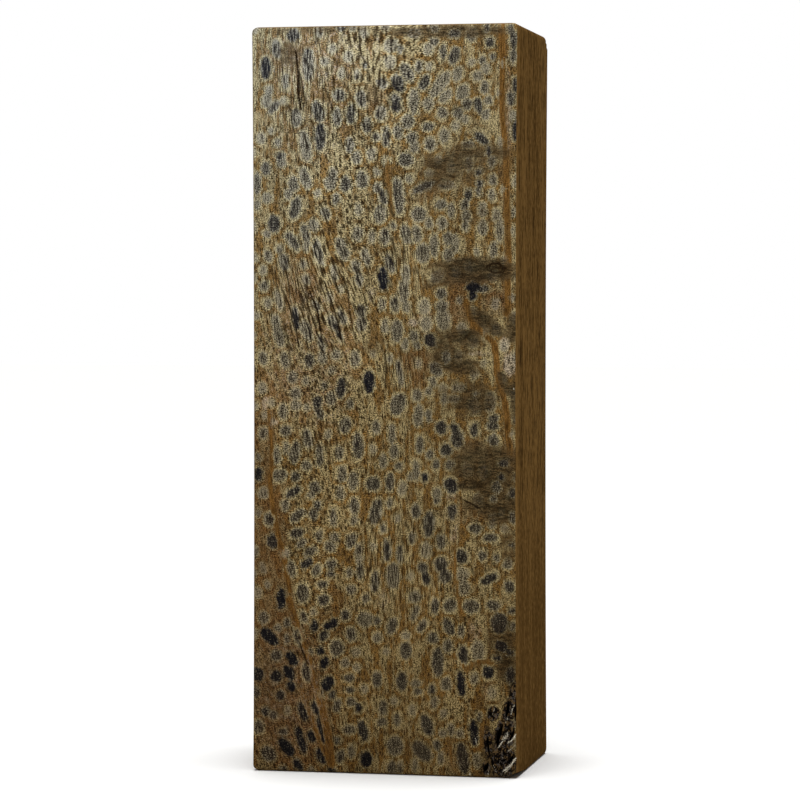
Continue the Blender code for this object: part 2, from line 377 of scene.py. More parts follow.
LOWER_SPOTS = (
    (258, 474, 7, 13, 0.9), (279, 475, 14, 10, 0.45, 1.0, 15), (296, 476, 7, 9, 0.7, 0.5),
    (293, 492, 16, 6, 0.8, 0.9, 32), (263, 493, 9, 10, 0.3), (285, 505, 7, 9, 0.45, 0.7),
    (315, 487, 10, 10, 0.6, 0.6, -25), (312, 494, 7, 6, 0.4, 0.5), (318, 505, 6, 8, 0.75, 0.5),
    (314, 514, 8, 9, 0.65), (298, 515, 16, 7, 0.65, 0.8, 38), (270, 519, 11, 12, 0.55, 1.0),
    (297, 533, 13, 8, 0.7, 0.8, 15), (258, 513, 4, 6, 0.4, 0.3), (273, 541, 12, 14, 0.75),
    (302, 543, 6, 9, 0.55, 0.4, -30), (334, 516, 5, 16, 0.55, 0.6), (335, 537, 7, 8, 0.5, 0.5),
    (331, 546, 10, 9, 0.55, 0.5), (343, 473, 8, 14, 0.55, 0.5), (341, 492, 7, 12, 0.5),
    (354, 480, 8, 16, 0.5, 0.5), (374, 483, 13, 12, 0.65, 0.6, -15), (355, 505, 8, 14, 0.6, 0.5),
    (355, 519, 5, 9, 0.5, 0.5), (377, 511, 10, 25, 0.65, 0.5, -15), (384, 527, 5, 8, 0.65, 0.5),
    (352, 540, 8, 14, 0.6, 0.5, -15), (320, 535, 5, 10, 0.5), (431, 453, 6, 8, 0.6),
    (437, 463, 5, 9, 0.75, 0.5), (451, 463, 8, 8, 0.65, 0.3), (400, 465, 6, 6, 0.55, 0.5),
    (417, 469, 5, 18, 0.5, 0.5), (426, 476, 5, 8, 1.0, 0.6), (391, 481, 6, 16, 0.65, 0.5),
    (411, 475, 3, 6, 0.6), (452, 484, 11, 15, 0.85, 0.9, 25), (438, 492, 7, 10, 0.4, 0.9),
    (438, 500, 5, 3, 0.8, 0.5), (391, 502, 5, 8, 0.5, 0.5), (417, 510, 8, 13, 0.6, 0.5),
    (453, 510, 8, 14, 0.75, 0.5), (430, 523, 10, 24, 0.7, 0.5, -5), (442, 540, 8, 13, 0.6, 0.5),
    (476, 527, 11, 8, 0.65, 0.9, -10), (491, 536, 13, 6, 0.65, 1.0), (493, 519, 5, 13, 0.5, 0.8),
    (484, 470, 7, 12, 0.35, 0.3), (502, 475, 5, 6, 0.95, 0.2), (497, 485, 8, 11, 0.7, 0.2),
    (494, 497, 5, 6, 0.65, 0.3), (512, 491, 6, 8, 0.9, 0.2), (504, 461, 9, 7, 0.85, 0.1),
    (513, 515, 5, 10, 0.75, 0.2), (512, 543, 4, 4, 0.85, 0.2), (388, 549, 6, 20, 0.75),
    (413, 537, 5, 10, 0.6, 0.5), (311, 551, 12, 7, 0.6, 0.7, 25), (254, 552, 6, 10, 0.4, 0.5),
    (285, 554, 7, 8, 0.1, 1.0), (290, 569, 10, 15, 0.45, 0.9, 15), (307, 563, 12, 7, 0.85, 0.4, 35),
    (317, 570, 7, 11, 0.65, 1.0, -25), (332, 564, 9, 8, 0.65, 0.7), (332, 574, 6, 5, 0.75),
    (323, 584, 9, 6, 0.65, 0.9), (303, 593, 11, 17, 0.6, 1.0), (324, 600, 10, 11, 0.7, 1.0, -20),
    (281, 599, 8, 20, 0.95, 0.3), (263, 618, 9, 11, 0.45, 0.4, 20), (304, 617, 5, 10, 0.5, 0.9, 20),
    (314, 612, 4, 5, 0.2, 0.7), (315, 626, 6, 11, 0.9), (287, 623, 5, 8, 0.55), (278, 628, 6, 6, 0.5),
    (328, 626, 6, 7, 0.95, 0.7), (334, 623, 7, 9, 1.0, 0.7, -20), (346, 615, 7, 9, 0.7, 0.7),
    (324, 636, 6, 10, 0.85, 0.8, -35), (299, 636, 8, 19, 0.6, 1.0, 15), (269, 637, 10, 21, 1.0, 0.1, 50),
    (287, 639, 4, 9, 0.6, 0.3), (337, 648, 12, 15, 0.6, 1.0), (321, 651, 6, 7, 1.0, 0.6),
    (309, 652, 8, 6, 0.55), (276, 656, 10, 9, 0.65), (292, 659, 8, 15, 1.0, 0.2, 35),
    (352, 634, 9, 12, 0.55, 0.8), (366, 619, 14, 13, 0.45), (378, 620, 6, 8, 0.65),
    (378, 637, 7, 9, 0.5, 0.5), (357, 652, 7, 7, 0.1, 0.6), (352, 589, 8, 8, 0.5), (360, 553, 6, 20, 0.4),
    (361, 571, 6, 14, 0.6), (376, 581, 7, 20, 0.6), (350, 572, 5, 8, 0.5), (367, 598, 6, 7, 0.5),
    (401, 553, 5, 16, 0.6), (427, 549, 8, 14, 0.25, 0.5), (462, 555, 12, 13, 0.8, 0.6),
    (483, 554, 6, 9, 0.65, 0.5), (497, 556, 5, 6, 0.6, 0.5), (508, 562, 8, 8, 0.55), (442, 563, 12, 13, 0.75),
    (446, 575, 11, 13, 0.7), (424, 567, 8, 10, 0.75, 0.4, 20), (427, 577, 7, 12, 0.8, 0.4, 15),
    (394, 575, 12, 24, 0.5), (490, 577, 17, 7, 0.8, 1.0, 30), (510, 585, 8, 11, 0.7, 0.6),
    (463, 573, 11, 11, 0.3, 0.5), (465, 586, 10, 13, 0.35, 0.5), (416, 596, 11, 10, 0.45),
    (436, 605, 6, 14, 0.7), (451, 604, 11, 12, 0.6, 1.0, -20), (472, 605, 14, 12, 0.55, 1.0),
    (494, 604, 12, 9, 0.65, 0.5), (416, 612, 5, 14, 0.5, 0.4, -20), (393, 625, 8, 16, 0.6, 0.4, -15),
    (423, 625, 6, 12, 0.6, 0.5, -30), (450, 626, 8, 16, 0.7, 0.5, 25), (462, 630, 5, 10, 0.5),
    (500, 622, 15, 19, 0.85, 0.2), (513, 625, 4, 8, 0.65), (513, 609, 6, 4, 0.75, 0.2),
)
FOOT_SPOTS = (
    (434, 637, 9, 10, 0.65, 0.4, 20), (449, 645, 8, 12, 0.5, 0.6), (407, 635, 7, 6, 0.4, 0.6),
    (407, 650, 10, 16, 0.65), (439, 661, 10, 27, 0.7), (464, 655, 9, 19, 0.8, 1.0),
    (479, 650, 11, 18, 0.3, 1.0), (502, 645, 12, 9, 0.95, 0.2, -35), (510, 651, 9, 5, 0.85, 0.1, -35),
    (498, 657, 7, 5, 0.95, 0.3), (489, 671, 10, 12, 0.9, 0.7), (325, 663, 7, 11, 1.0, 0.4, -25),
    (289, 673, 9, 14, 1.0, 0.1, 35), (308, 672, 10, 18, 0.6, 0.5, 5), (257, 675, 11, 13, 0.9, 0.1, 20),
    (276, 677, 11, 11, 0.9, 0.2), (346, 663, 6, 8, 0.4, 0.5), (350, 678, 9, 6, 0.75), (403, 681, 9, 17, 0.75),
    (417, 683, 8, 6, 0.5), (419, 691, 7, 5, 0.7, 0.3), (433, 689, 5, 9, 0.8, 0.3), (435, 702, 5, 10, 0.5),
    (447, 683, 8, 12, 0.55), (462, 683, 7, 23, 1.0, 0.4, 5), (475, 677, 6, 9, 0.5, 0.5),
    (511, 674, 8, 16, 0.85, 0.1), (291, 687, 8, 9, 0.95, 0.2, 30), (280, 696, 8, 9, 0.8, 0.2),
    (328, 684, 10, 15, 1.0, 0.4, -30), (333, 695, 5, 8, 0.8), (255, 693, 6, 10, 0.6), (320, 695, 6, 10, 0.4),
    (351, 690, 6, 5, 0.8), (352, 702, 8, 8, 0.6), (378, 679, 8, 14, 0.7), (303, 712, 8, 18, 0.8, 0.3, 20),
    (316, 709, 6, 13, 0.85, 0.4, 25), (338, 706, 6, 12, 0.65, 0.5, -15), (359, 708, 6, 8, 0.95),
    (384, 708, 6, 14, 0.6), (383, 722, 8, 7, 0.6), (265, 712, 7, 8, 0.8, 0.4, 30), (273, 716, 7, 7, 0.6),
    (258, 728, 9, 12, 0.55, 0.8), (283, 733, 8, 5, 0.65, 0.3), (301, 741, 7, 26, 0.9, 0.2, 17),
    (312, 737, 7, 11, 0.9, 0.3, 20), (321, 733, 5, 27, 0.9, 0.3, 12), (286, 748, 10, 20, 1.0, 0.1, 40),
    (268, 755, 12, 15, 0.65, 0.4, 40), (321, 757, 7, 16, 0.9, 0.2, 22), (298, 766, 7, 13, 0.9, 0.2, 30),
    (283, 770, 6, 5, 0.7, 0.2), (332, 770, 6, 8, 0.85, 0.2), (338, 741, 5, 6, 0.9, 0.5),
    (341, 757, 6, 12, 0.6, 0.6, -15), (364, 731, 8, 20, 0.85, 0.3, 15), (350, 730, 12, 7, 0.5, 0.5),
    (352, 752, 5, 12, 0.5), (367, 760, 11, 14, 1.0, 0.3), (398, 720, 5, 12, 0.6), (494, 712, 9, 10, 1.0, 0.6),
    (480, 716, 4, 7, 0.7, 0.5), (428, 725, 10, 20, 0.75, 0.4, 20), (444, 733, 6, 6, 0.5),
    (452, 729, 6, 11, 0.5, 0.5, 10), (461, 733, 5, 8, 0.45, 0.5), (475, 732, 7, 24, 1.0, 0.6, 3),
    (396, 746, 15, 18, 0.6, 0.2), (423, 751, 13, 22, 0.7, 0.3, 45), (438, 745, 6, 10, 0.7, 0.4, 15),
    (442, 758, 5, 11, 0.5, 0.3), (464, 758, 10, 30, 0.8, 0.3, 10), (478, 760, 6, 14, 0.4, 0.3, 10),
    (393, 768, 8, 12, 0.65, 0.3), (401, 768, 4, 11, 0.5, 0.3), (416, 765, 4, 11, 0.4, 0.3),
)

# Open vessels and long dark lines: half width, strength and points.
VESSEL_LINES = (
    (0.8, 1.0, (296.7, 53), (299, 74), (298.5, 88), (300.3, 101), (301.6, 109)),
    (0.6, 0.7, (301, 75), (302, 83), (304, 92), (306, 103)),
    (0.6, 0.6, (282, 58), (283, 72)),
    (0.7, 0.8, (360, 30), (361, 47), (363, 57), (366.7, 63)),
    (0.6, 0.6, (353.7, 58.6), (354.6, 70)),
    (0.6, 0.6, (349, 90), (353, 99), (357, 111)),
    (0.6, 0.7, (316.5, 30), (316.5, 44)),
    (0.6, 0.6, (350, 32), (350.5, 47)),
    (0.6, 0.7, (292.6, 110), (292, 119), (294, 129.5)),
    (0.6, 0.7, (304, 134), (309, 147.5)),
    (0.6, 0.7, (312, 121), (314.6, 127)),
    (0.6, 0.6, (371, 125), (372, 146)),
    (0.6, 0.6, (328, 92), (330, 99), (333.5, 109)),
    (0.9, 0.6, (383, 168), (385, 182), (390, 196), (394, 214)),
    (0.9, 0.7, (322, 205), (326, 217), (331, 227)),
    (1.1, 1.0, (311, 293), (314, 300), (317, 307), (319, 314), (321, 330)),
    (1.0, 0.9, (325, 281), (329, 293), (334, 306), (339, 322), (342, 338)),
    (0.8, 0.8, (300, 291), (302, 300), (304, 309)),
    (0.8, 0.8, (283, 290), (290, 306), (293, 318)),
    (0.8, 0.7, (306, 285), (310, 320), (312, 340)),
    (0.9, 0.8, (344, 276), (348, 287), (350, 297)),
    (0.8, 0.7, (315, 275), (319, 290)),
    (0.8, 0.7, (336, 266), (344, 286)),
    (0.8, 0.7, (349, 297), (352, 318), (354, 330)),
    (0.9, 0.8, (294, 322), (297, 332), (299, 344)),
    (0.8, 0.6, (285, 325), (289, 345), (291, 368)),
    (0.8, 0.7, (385, 352), (387, 368), (386, 388)),
    (0.8, 0.7, (393, 238), (395, 245), (397, 254)),
    (0.7, 0.7, (404, 250), (406, 261)),
    (0.7, 0.6, (418, 268), (421, 279)),
    (0.9, 0.9, (300, 644), (304, 655), (308, 664)),
    (0.7, 0.7, (450, 110), (460, 106), (470, 103)),
    (1.0, 0.9, (466, 499), (472, 502), (479, 506)),
    (0.9, 0.8, (492, 757), (494, 763), (496, 770)),
    (0.7, 0.9, (487, 265), (493, 261.5), (499, 261.5), (506, 266)),
    (0.7, 0.8, (488, 268), (495, 271), (503, 270)),
    (0.7, 0.6, (493, 266), (501, 266.5)),
)
# Amber veins: half width, strength and points.
VEINS = (
    (3.9, 0.85, (501, 24), (503, 60), (502, 100), (506, 150), (507, 200), (508, 250), (508, 300), (506, 312)),
    (3.4, 1.0, (467, 300), (470, 314), (477, 326), (486, 333), (494, 341), (496, 352), (497, 366)),
    (3.4, 1.0, (497, 366), (500, 382), (504, 395), (507, 410), (508, 430), (510, 452)),
    (3.0, 0.7, (388, 160), (389, 175), (392, 190), (394, 212)),
    (4.0, 0.9, (289, 600), (300, 635), (308, 655), (316, 685), (324, 715), (330, 745), (332, 766)),
    (3.0, 0.8, (302, 690), (310, 715), (322, 745), (332, 766)),
    (3.0, 0.7, (455, 655), (468, 668), (480, 660), (492, 662)),
    (2.6, 0.6, (456, 548), (456, 566), (458, 592), (462, 612)),
    (3.4, 0.8, (270, 411), (272, 440), (270, 484), (276, 523), (284, 560), (290, 590)),
    (2.6, 0.7, (482, 728), (483, 745), (476, 750)),
    (2.6, 0.6, (452, 744), (454, 770)),
)
# Smoky grey-brown stain: column, row, half width, half height, strength and any lean.
SMOKE = (
    (462, 165, 52, 24, 0.4, 8), (447, 163, 22, 5, 0.6, -4), (428, 186, 30, 9, 0.25, 25),
    (482, 150, 30, 8, 0.3), (476, 269, 46, 13, 0.75), (466, 262, 26, 6, 0.4), (498, 266, 12, 8, 0.5),
    (454, 340, 34, 15, 0.5), (468, 335, 13, 6, 0.75), (460, 363, 26, 9, 0.65, -8), (446, 356, 12, 12, 0.4),
    (487, 320, 22, 8, 0.75, -38), (512, 326, 6, 16, 0.7), (505, 381, 5, 14, 0.75, 28),
    (466, 396, 36, 20, 0.42), (477, 400, 18, 12, 0.3), (484, 462, 38, 24, 0.65), (469, 484, 12, 5, 0.8),
    (500, 500, 20, 26, 0.7), (504, 507, 7, 4, 0.8), (509, 545, 9, 18, 0.5), (477, 502, 16, 9, 0.5),
    (502, 636, 16, 26, 0.55), (508, 668, 12, 16, 0.6), (514, 690, 5, 14, 0.7), (490, 742, 5, 16, 0.9, 5),
    (463, 757, 9, 20, 0.4, 8), (375, 344, 16, 12, 0.35), (450, 31, 66, 7, 0.6), (320, 30, 66, 4, 0.4),
    (291, 56, 14, 18, 0.4), (434, 283, 22, 5, 0.4), (500, 762, 20, 18, 0.6), (514, 400, 4, 26, 0.6),
    (421, 747, 14, 10, 0.4), (262, 560, 8, 20, 0.3), (272, 700, 22, 60, 0.25), (480, 214, 34, 14, 0.25),
)
# Reddish brown wood: column, row, half width, half height, strength and any lean.
REDDISH = (
    (262, 440, 14, 44, 0.6), (268, 520, 22, 50, 0.7), (270, 595, 24, 46, 0.7), (282, 690, 46, 76, 0.85),
    (300, 742, 44, 40, 0.65), (298, 280, 20, 30, 0.4), (468, 277, 28, 8, 0.9), (458, 305, 12, 22, 0.8),
    (478, 325, 12, 6, 0.6, -30), (498, 299, 16, 12, 0.9), (418, 360, 22, 12, 0.7), (420, 382, 8, 12, 0.6),
    (376, 97, 12, 16, 0.6), (291, 57, 10, 14, 0.5), (510, 450, 6, 24, 0.6), (470, 445, 16, 8, 0.6),
    (467, 512, 20, 12, 0.5), (285, 385, 26, 16, 0.4), (430, 190, 14, 8, 0.4, 25), (505, 150, 6, 120, 0.3),
    (452, 760, 10, 14, 0.4), (336, 625, 20, 60, 0.3, 15), (309, 400, 60, 60, 0.15),
)
# Pale bleached wood, and at the top left broad patches of painted sheen: column, row, half width, half
# height, strength and any lean.
BLEACHED_AND_SHEEN = (
    (510, 362, 7, 12, 0.9), (505, 342, 5, 8, 0.8), (427, 318, 8, 16, 0.4), (414, 321, 5, 5, 0.7),
    (265, 403, 4, 6, 0.6), (274, 422, 4, 4, 0.6), (285, 553, 6, 6, 0.5), (509, 110, 3, 40, 0.4),
    (455, 532, 5, 10, 0.4), (452, 495, 6, 5, 0.4), (480, 648, 6, 10, 0.3), (305, 120, 60, 60, 0.2),
    (320, 50, 80, 34, 0.25), (372, 292, 4, 8, 0.5), (478, 352, 14, 3, 0.5), (475, 630, 8, 12, 0.4),
    (490, 690, 8, 12, 0.3), (384, 600, 6, 12, 0.4), (310, 350, 60, 90, 0.28), (290, 690, 50, 80, 0.25),
)
# Where dark lines along the grain take the place of round pores: as above.
STREAKY = (
    (320, 290, 52, 62, 1.0, 18), (400, 265, 26, 40, 0.6, 14), (402, 370, 26, 26, 0.7), (375, 70, 26, 60, 0.8),
    (310, 110, 50, 60, 0.6, 12), (384, 180, 14, 50, 0.7), (325, 440, 34, 26, 0.6), (386, 560, 30, 60, 0.7),
    (300, 60, 40, 50, 0.8, 5), (420, 560, 30, 60, 0.6), (315, 700, 26, 66, 0.5, 16), (340, 50, 60, 34, 0.4),
)
# Where the flecks are fainter: as above.
CALM = (
    (340, 70, 110, 60, 0.25), (470, 180, 56, 160, 0.6), (470, 420, 50, 140, 0.6), (500, 650, 26, 130, 0.5),
    (275, 640, 26, 130, 0.6), (265, 480, 14, 60, 0.4),
)
STAINS = {"smoke": SMOKE, "reddish": REDDISH, "bleached_and_sheen": BLEACHED_AND_SHEEN, "streaky": STREAKY, "calm": CALM}
# Where the front's grain leans.
BENDS = (Bend(16, 82, 16, 16, 14), Bend(6, 20, 14, 30, 12), Bend(34, 112, 8, 8, -18))

# The bark pocket: where bark lies, as above.
BARK = (
    (511, 708, 7, 14, 1.0, -20), (505, 735, 10, 18, 1.0, -10), (505, 760, 13, 14, 1.0),
    (503, 773, 11, 6, 0.8), (489, 743, 4.5, 15, 0.9, 3), (497, 758, 6, 10, 0.7), (514, 690, 4, 12, 0.7, -15),
    (494, 713, 6, 8, 0.9, -20), (487, 768, 5, 6, 0.9),
)
# Torn pale fibres beside its seams, their pale cream partly a painted glint: half width, strength and points.
RIDGES = (
    (1.0, 1.0, (516, 734), (514, 738), (509.3, 741.4)),
    (1.3, 1.0, (516, 758), (512, 764), (505, 770)),
    (0.8, 1.0, (503, 741), (499.3, 746.5)),
    (2.2, 0.6, (508, 733), (504.5, 738.5)),
    (0.9, 0.6, (514.5, 704), (511.5, 713)),
    (0.7, 0.5, (508.5, 716), (506, 722)),
    (0.7, 0.4, (496, 706), (493, 714)),
    (0.9, 0.5, (489.5, 771), (488.5, 776)),
    (0.7, 0.5, (476.5, 738), (478, 744)),
    (0.7, 0.4, (500, 762), (503, 757)),
    (0.8, 0.4, (509, 750), (513, 747)),
    (0.7, 0.4, (494.5, 765), (497, 771)),
    (0.7, 0.5, (511, 767), (506, 772)),
    (0.7, 0.4, (515, 745), (511, 750)),
)
# Short thin seams beside the pocket's main ones: half width, depth in mm and points.
CRACKS = (
    (1.6, 0.6, (516.5, 697), (516, 710), (515.5, 722)),
    (1.5, 0.5, (500, 737), (498.5, 743), (498, 749)),
    (1.4, 0.4, (492, 756), (493, 762), (493.6, 768)),
    (1.5, 0.4, (503, 750), (506, 753), (511, 752)),
    (1.3, 0.4, (497, 760), (501, 763), (502, 769)),
    (1.6, 0.5, (508, 757), (504, 760), (500, 759)),
    (1.4, 0.3, (490, 708), (492, 714), (495, 718)),
    (1.2, 0.3, (507, 730), (511, 733), (512, 737)),
)
# Bright flecks that stand alone, painted glints: column and row.
GLINT_FLECKS = (
    (504, 56.5), (509, 107.5), (465.5, 46.5), (316, 623.5), (507.5, 654.5), (470.5, 774.5), (294, 668),
    (265, 683), (514, 387), (368, 306), (363, 280), (513, 181), (477, 741), (471, 774),
)


@dataclass(frozen=True)
class Seam:
    """An open seam of the bark pocket, widest and deepest at its middle, with lengths in mm.

    Attributes:
        path: The points on the face where it starts, bends and ends.
        width: Its widest opening.
        depth: Its greatest depth.
    """

    path: tuple[tuple[float, float], tuple[float, float], tuple[float, float]]
    width: float
    depth: float

    # At how many points along it the seam is measured, and how full it still is at its ends.
    STATIONS = 40
    LEAST_FULL = 0.08

    def dent(self, across: np.ndarray, up: np.ndarray) -> np.ndarray:
        """Tells how deep the seam is.

        Args:
            across: Distances from the left edge, in mm.
            up: Heights, in mm.

        Returns:
            Its depth at each place, in mm.
        """
        start, bend, end = np.array(self.path)
        through = 2 * bend - (start + end) / 2
        deepest = np.zeros_like(across)
        for i in range(self.STATIONS):
            t = (i + 0.5) / self.STATIONS
            x, z = start * (1 - t) ** 2 + through * 2 * t * (1 - t) + end * t ** 2
            fullness = max(math.sin(math.pi * t), self.LEAST_FULL)
            distance = np.hypot(across - x, up - z)
            dent = self.depth * fullness * np.clip(1 - distance / (self.width / 2 * fullness), 0, 1)
            deepest = np.maximum(deepest, dent)
        return deepest


# The pocket's main seams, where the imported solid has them.
MAIN_SEAMS = (
    Seam(((43.4, 5.2), (43.8, 7.5), (44.7, 9.8)), 0.80, 1.3),
    Seam(((44.8, 10.3), (45.3, 11.8), (45.5, 13.6)), 0.60, 1.0),
    Seam(((45.5, 6.2), (46.1, 7.5), (46.6, 9.2)), 0.50, 0.9),
    Seam(((45.2, 2.5), (45.9, 3.3), (46.5, 4.4)), 0.60, 1.0),
    Seam(((41.2, 1.1), (41.6, 1.8), (41.9, 2.8)), 0.70, 1.0),
    Seam(((42.2, 3.0), (41.9, 5.4), (41.6, 8.0)), 0.50, 0.6),
)


@dataclass
class BarkPocket:
    """The crumbled bark pocket at the front's lower right corner.

    Attributes:
        bark: Where the bark lies.
        seams: Its open seams.
        ridges: The torn fibres beside them.
        crumble: How far the bark's crumbs stand up or lie low, in mm.
        rise: How far the torn fibres stand up, in mm.
    """

    bark: list[Patch]
    seams: list[Seam]
    ridges: list[Streak]
    crumble: float = 0.16
    rise: float = 0.12

    def fields(self, across: np.ndarray, up: np.ndarray) -> dict[str, np.ndarray]:
        """What the material reads at each place of the front.

        Args:
            across: Distances from the left edge, in mm.
            up: Heights, in mm.

        Returns:
            "bark", "crevice", the seams' painted shade, and "ridge", each from 0 to 1, and "dent", the seams'
            depth in mm.
        """
        bark, ridge, dent = (np.zeros_like(across) for _ in range(3))
        for patch in self.bark:
            bark = np.maximum(bark, patch.strength * patch.cover(across, up))
        for streak in self.ridges:
            nearest, _ = streak.offset(across, up)
            ridge = np.maximum(ridge, streak.strength * smooth(nearest / streak.half_width, 1.5, 0.4))
        for seam in self.seams:
            dent = np.maximum(dent, seam.dent(across, up))
        ridge = ridge * (dent < 0.1)
        # The crevice value is painted shade in the seams, fuller where they are deeper.
        return {"bark": bark, "crevice": smooth(dent, 0.03, 0.22), "ridge": ridge, "dent": dent}

    def depth(self, across: np.ndarray, up: np.ndarray) -> np.ndarray:
        """Tells how far the front lies below the sawn face.

        Args:
            across: Distances from the left edge, in mm.
            up: Heights, in mm.

        Returns:
            The depth of each place in mm, negative where it stands proud.
        """
        fields = self.fields(across, up)
        crumbs = np.zeros_like(across)
        for i in np.flatnonzero(fields["bark"] > 0.02):
            coarse = noise.noise(Vector((across[i] * 1.4, up[i] * 1.0, 0.0)))
            fine = noise.noise(Vector((across[i] * 4.0, up[i] * 3.2, 7.0)))
            crumbs[i] = fields["bark"][i] * (0.4 + coarse + 0.5 * fine)
        return fields["dent"] + self.crumble * crumbs - self.rise * fields["ridge"]


@dataclass
class Figure:
    """The figure on one broad face: where its spots, grain bends and stains lie.

    Lengths are in mm.

    Attributes:
        width: The face's width.
        length: Its height.
        seed: The seed for the spots that fill the gaps.
        spots: The spots with a place of their own.
        bends: Where the grain leans.
        stains: The patches of each kind of stain, by its name.
        veins: The amber veins.
        lines: The long dark vessel lines.
        tries: How often a place for a filling spot is drawn.
        spacing: How near two spots may lie, as a share of their sizes.
        filling: The least and the greatest width of a filling spot.
        filling_tall: Its least and greatest height, as a share of its width.
        filling_dark: Its least and greatest darkness.
        filling_halo: How strong its rim is, at least and at most.
        filling_lean: How far it usually leans out of the grain, in degrees.
    """

    width: float
    length: float
    seed: int
    spots: list[Spot] = field(default_factory=list)
    bends: tuple[Bend, ...] = ()
    stains: dict[str, list[Patch]] = field(default_factory=dict)
    veins: list[Streak] = field(default_factory=list)
    lines: list[Streak] = field(default_factory=list)
    tries: int = 3500
    spacing: float = 1.0
    filling: tuple[float, float] = (0.7, 1.3)
    filling_tall: tuple[float, float] = (1.1, 2.0)
    filling_dark: tuple[float, float] = (0.0, 0.35)
    filling_halo: tuple[float, float] = (0.1, 0.7)
    filling_lean: float = 8

    # How far from a spot its edge is measured, how far aside the noise moves for each step of the
    # seed, and between which distances a vessel line fades.
    FAR = 3.0
    APART = 50
    LINE_ENDS = (0.62, 0.4)

    def bent(self, across: np.ndarray, up: np.ndarray) -> tuple[np.ndarray, np.ndarray]:
        """Tells how the grain bends.

        Args:
            across: Distances from the left edge, in mm.
            up: Heights, in mm.

        Returns:
            How far the grain's top leans to the left, in degrees, and how far it has drifted, in mm.
        """
        lean, drift = np.zeros_like(across), np.zeros_like(across)
        for bend in self.bends:
            side = np.exp(-(((across - bend.across) / bend.reach_across) ** 2))
            lean += bend.lean * side / np.cosh((up - bend.up) / bend.reach_up) ** 2
            slope = math.tan(math.radians(bend.lean))
            drift += slope * bend.reach_up * side * np.tanh((up - bend.up) / bend.reach_up)
        return lean, drift

    def turned(self, seed: int) -> "Figure":
        """Makes a figure of the same kind for the other face, with this one's marks upside down.

        Args:
            seed: The seed for the spots that fill its gaps.

        Returns:
            The other face's figure.
        """
        def over(mark: Spot | Patch | Bend) -> Spot | Patch | Bend:
            """The mark upside down."""
            return replace(mark, up=self.length - mark.up, lean=-mark.lean)

        def over_line(streak: Streak) -> Streak:
            """The line upside down."""
            return replace(streak, points=tuple((x, self.length - z) for x, z in streak.points))

        return replace(
            self, seed=seed,
            spots=[over(spot) for spot in self.spots],
            bends=tuple(over(bend) for bend in self.bends),
            stains={name: [over(patch) for patch in patches] for name, patches in self.stains.items()},
            veins=[over_line(streak) for streak in self.veins],
            lines=[over_line(streak) for streak in self.lines],
        )

    def fill(self) -> None:
        """Adds seeded spots wherever the placed ones leave room."""
        draw = np.random.default_rng(self.seed)
        placed = np.zeros((len(self.spots) + self.tries, 4))
        count = len(self.spots)
        for i, spot in enumerate(self.spots):
            placed[i] = spot.across, spot.up, spot.wide, spot.tall
        for _ in range(self.tries):
            across, up = draw.uniform(0, self.width), draw.uniform(0, self.length)
            wide = draw.uniform(*self.filling)
            tall = wide * draw.uniform(*self.filling_tall)
            near = placed[:count]
            gap_across = (near[:, 0] - across) / (near[:, 2] + wide)
            gap_up = (near[:, 1] - up) / (near[:, 3] + tall)
            if count and np.min(gap_across ** 2 + gap_up ** 2) < self.spacing ** 2:
                continue
            grain, _ = self.bent(np.array([across]), np.array([up]))
            lean = float(grain[0]) + draw.normal(0, self.filling_lean)
            placed[count] = across, up, wide, tall
            count += 1
            dark, halo = draw.uniform(*self.filling_dark), draw.uniform(*self.filling_halo)
            self.spots.append(Spot(across, up, wide, tall, dark, halo, lean))

    def spot_fields(self, across: np.ndarray, up: np.ndarray) -> dict[str, np.ndarray]:
        """How each place lies to the spots.

        Args:
            across: Distances from the left edge, in mm.
            up: Heights, in mm.

        Returns:
            For each place, "spot", the distance in mm to the nearest spot's edge, negative inside it;
            "net", how much further the next spot is; "dark" and "halo", the nearest spot's.
        """
        order = np.argsort(up, kind="stable")
        heights, aside = up[order], across[order]
        nearest = np.full(across.shape, self.FAR)
        second = np.full(across.shape, self.FAR)
        dark = np.zeros_like(across)
        halo = np.zeros_like(across)
        for spot in self.spots:
            reach = spot.tall / 2 + spot.wide / 2 + self.FAR
            low, high = np.searchsorted(heights, (spot.up - reach, spot.up + reach))
            rows = slice(low, high)
            distance = spot.distance(aside[rows], heights[rows])
            closer = distance < nearest[rows]
            second[rows] = np.where(closer, nearest[rows], np.minimum(second[rows], distance))
            dark[rows] = np.where(closer, spot.dark, dark[rows])
            halo[rows] = np.where(closer, spot.halo, halo[rows])
            nearest[rows] = np.where(closer, distance, nearest[rows])
        net = np.clip(second - nearest, 0, self.FAR)
        fields = {"spot": nearest, "net": net, "dark": dark, "halo": halo}
        back = np.argsort(order, kind="stable")
        return {name: values[back] for name, values in fields.items()}

    def stain_fields(self, across: np.ndarray, up: np.ndarray) -> dict[str, np.ndarray]:
        """How strong each kind of stain, the veins and the vessel lines are at each place.

        Args:
            across: Distances from the left edge, in mm.
            up: Heights, in mm.

        Returns:
            The strength of each stain by its name, "vein", and for the vessel lines "line", the signed
            distance to the nearest in mm, and "drawn", how strong that line is.
        """
        fields = {}
        for name, patches in self.stains.items():
            left = np.ones_like(across)
            for patch in patches:
                left *= 1 - patch.strength * patch.cover(across, up)
            fields[name] = 1 - left
        vein = np.zeros_like(across)
        for streak in self.veins:
            nearest, _ = streak.offset(across, up)
            vein = np.maximum(vein, streak.strength * smooth(nearest / streak.half_width, 1.3, 0.5))
        line = np.full(across.shape, 1.0)
        drawn = np.zeros_like(across)
        for streak in self.lines:
            nearest, signed = streak.offset(across, up)
            closer = nearest < np.abs(line)
            line = np.where(closer, signed, line)
            drawn = np.where(closer, streak.strength * smooth(nearest, *self.LINE_ENDS), drawn)
        fields.update({"vein": vein, "line": line, "drawn": drawn})
        return fields

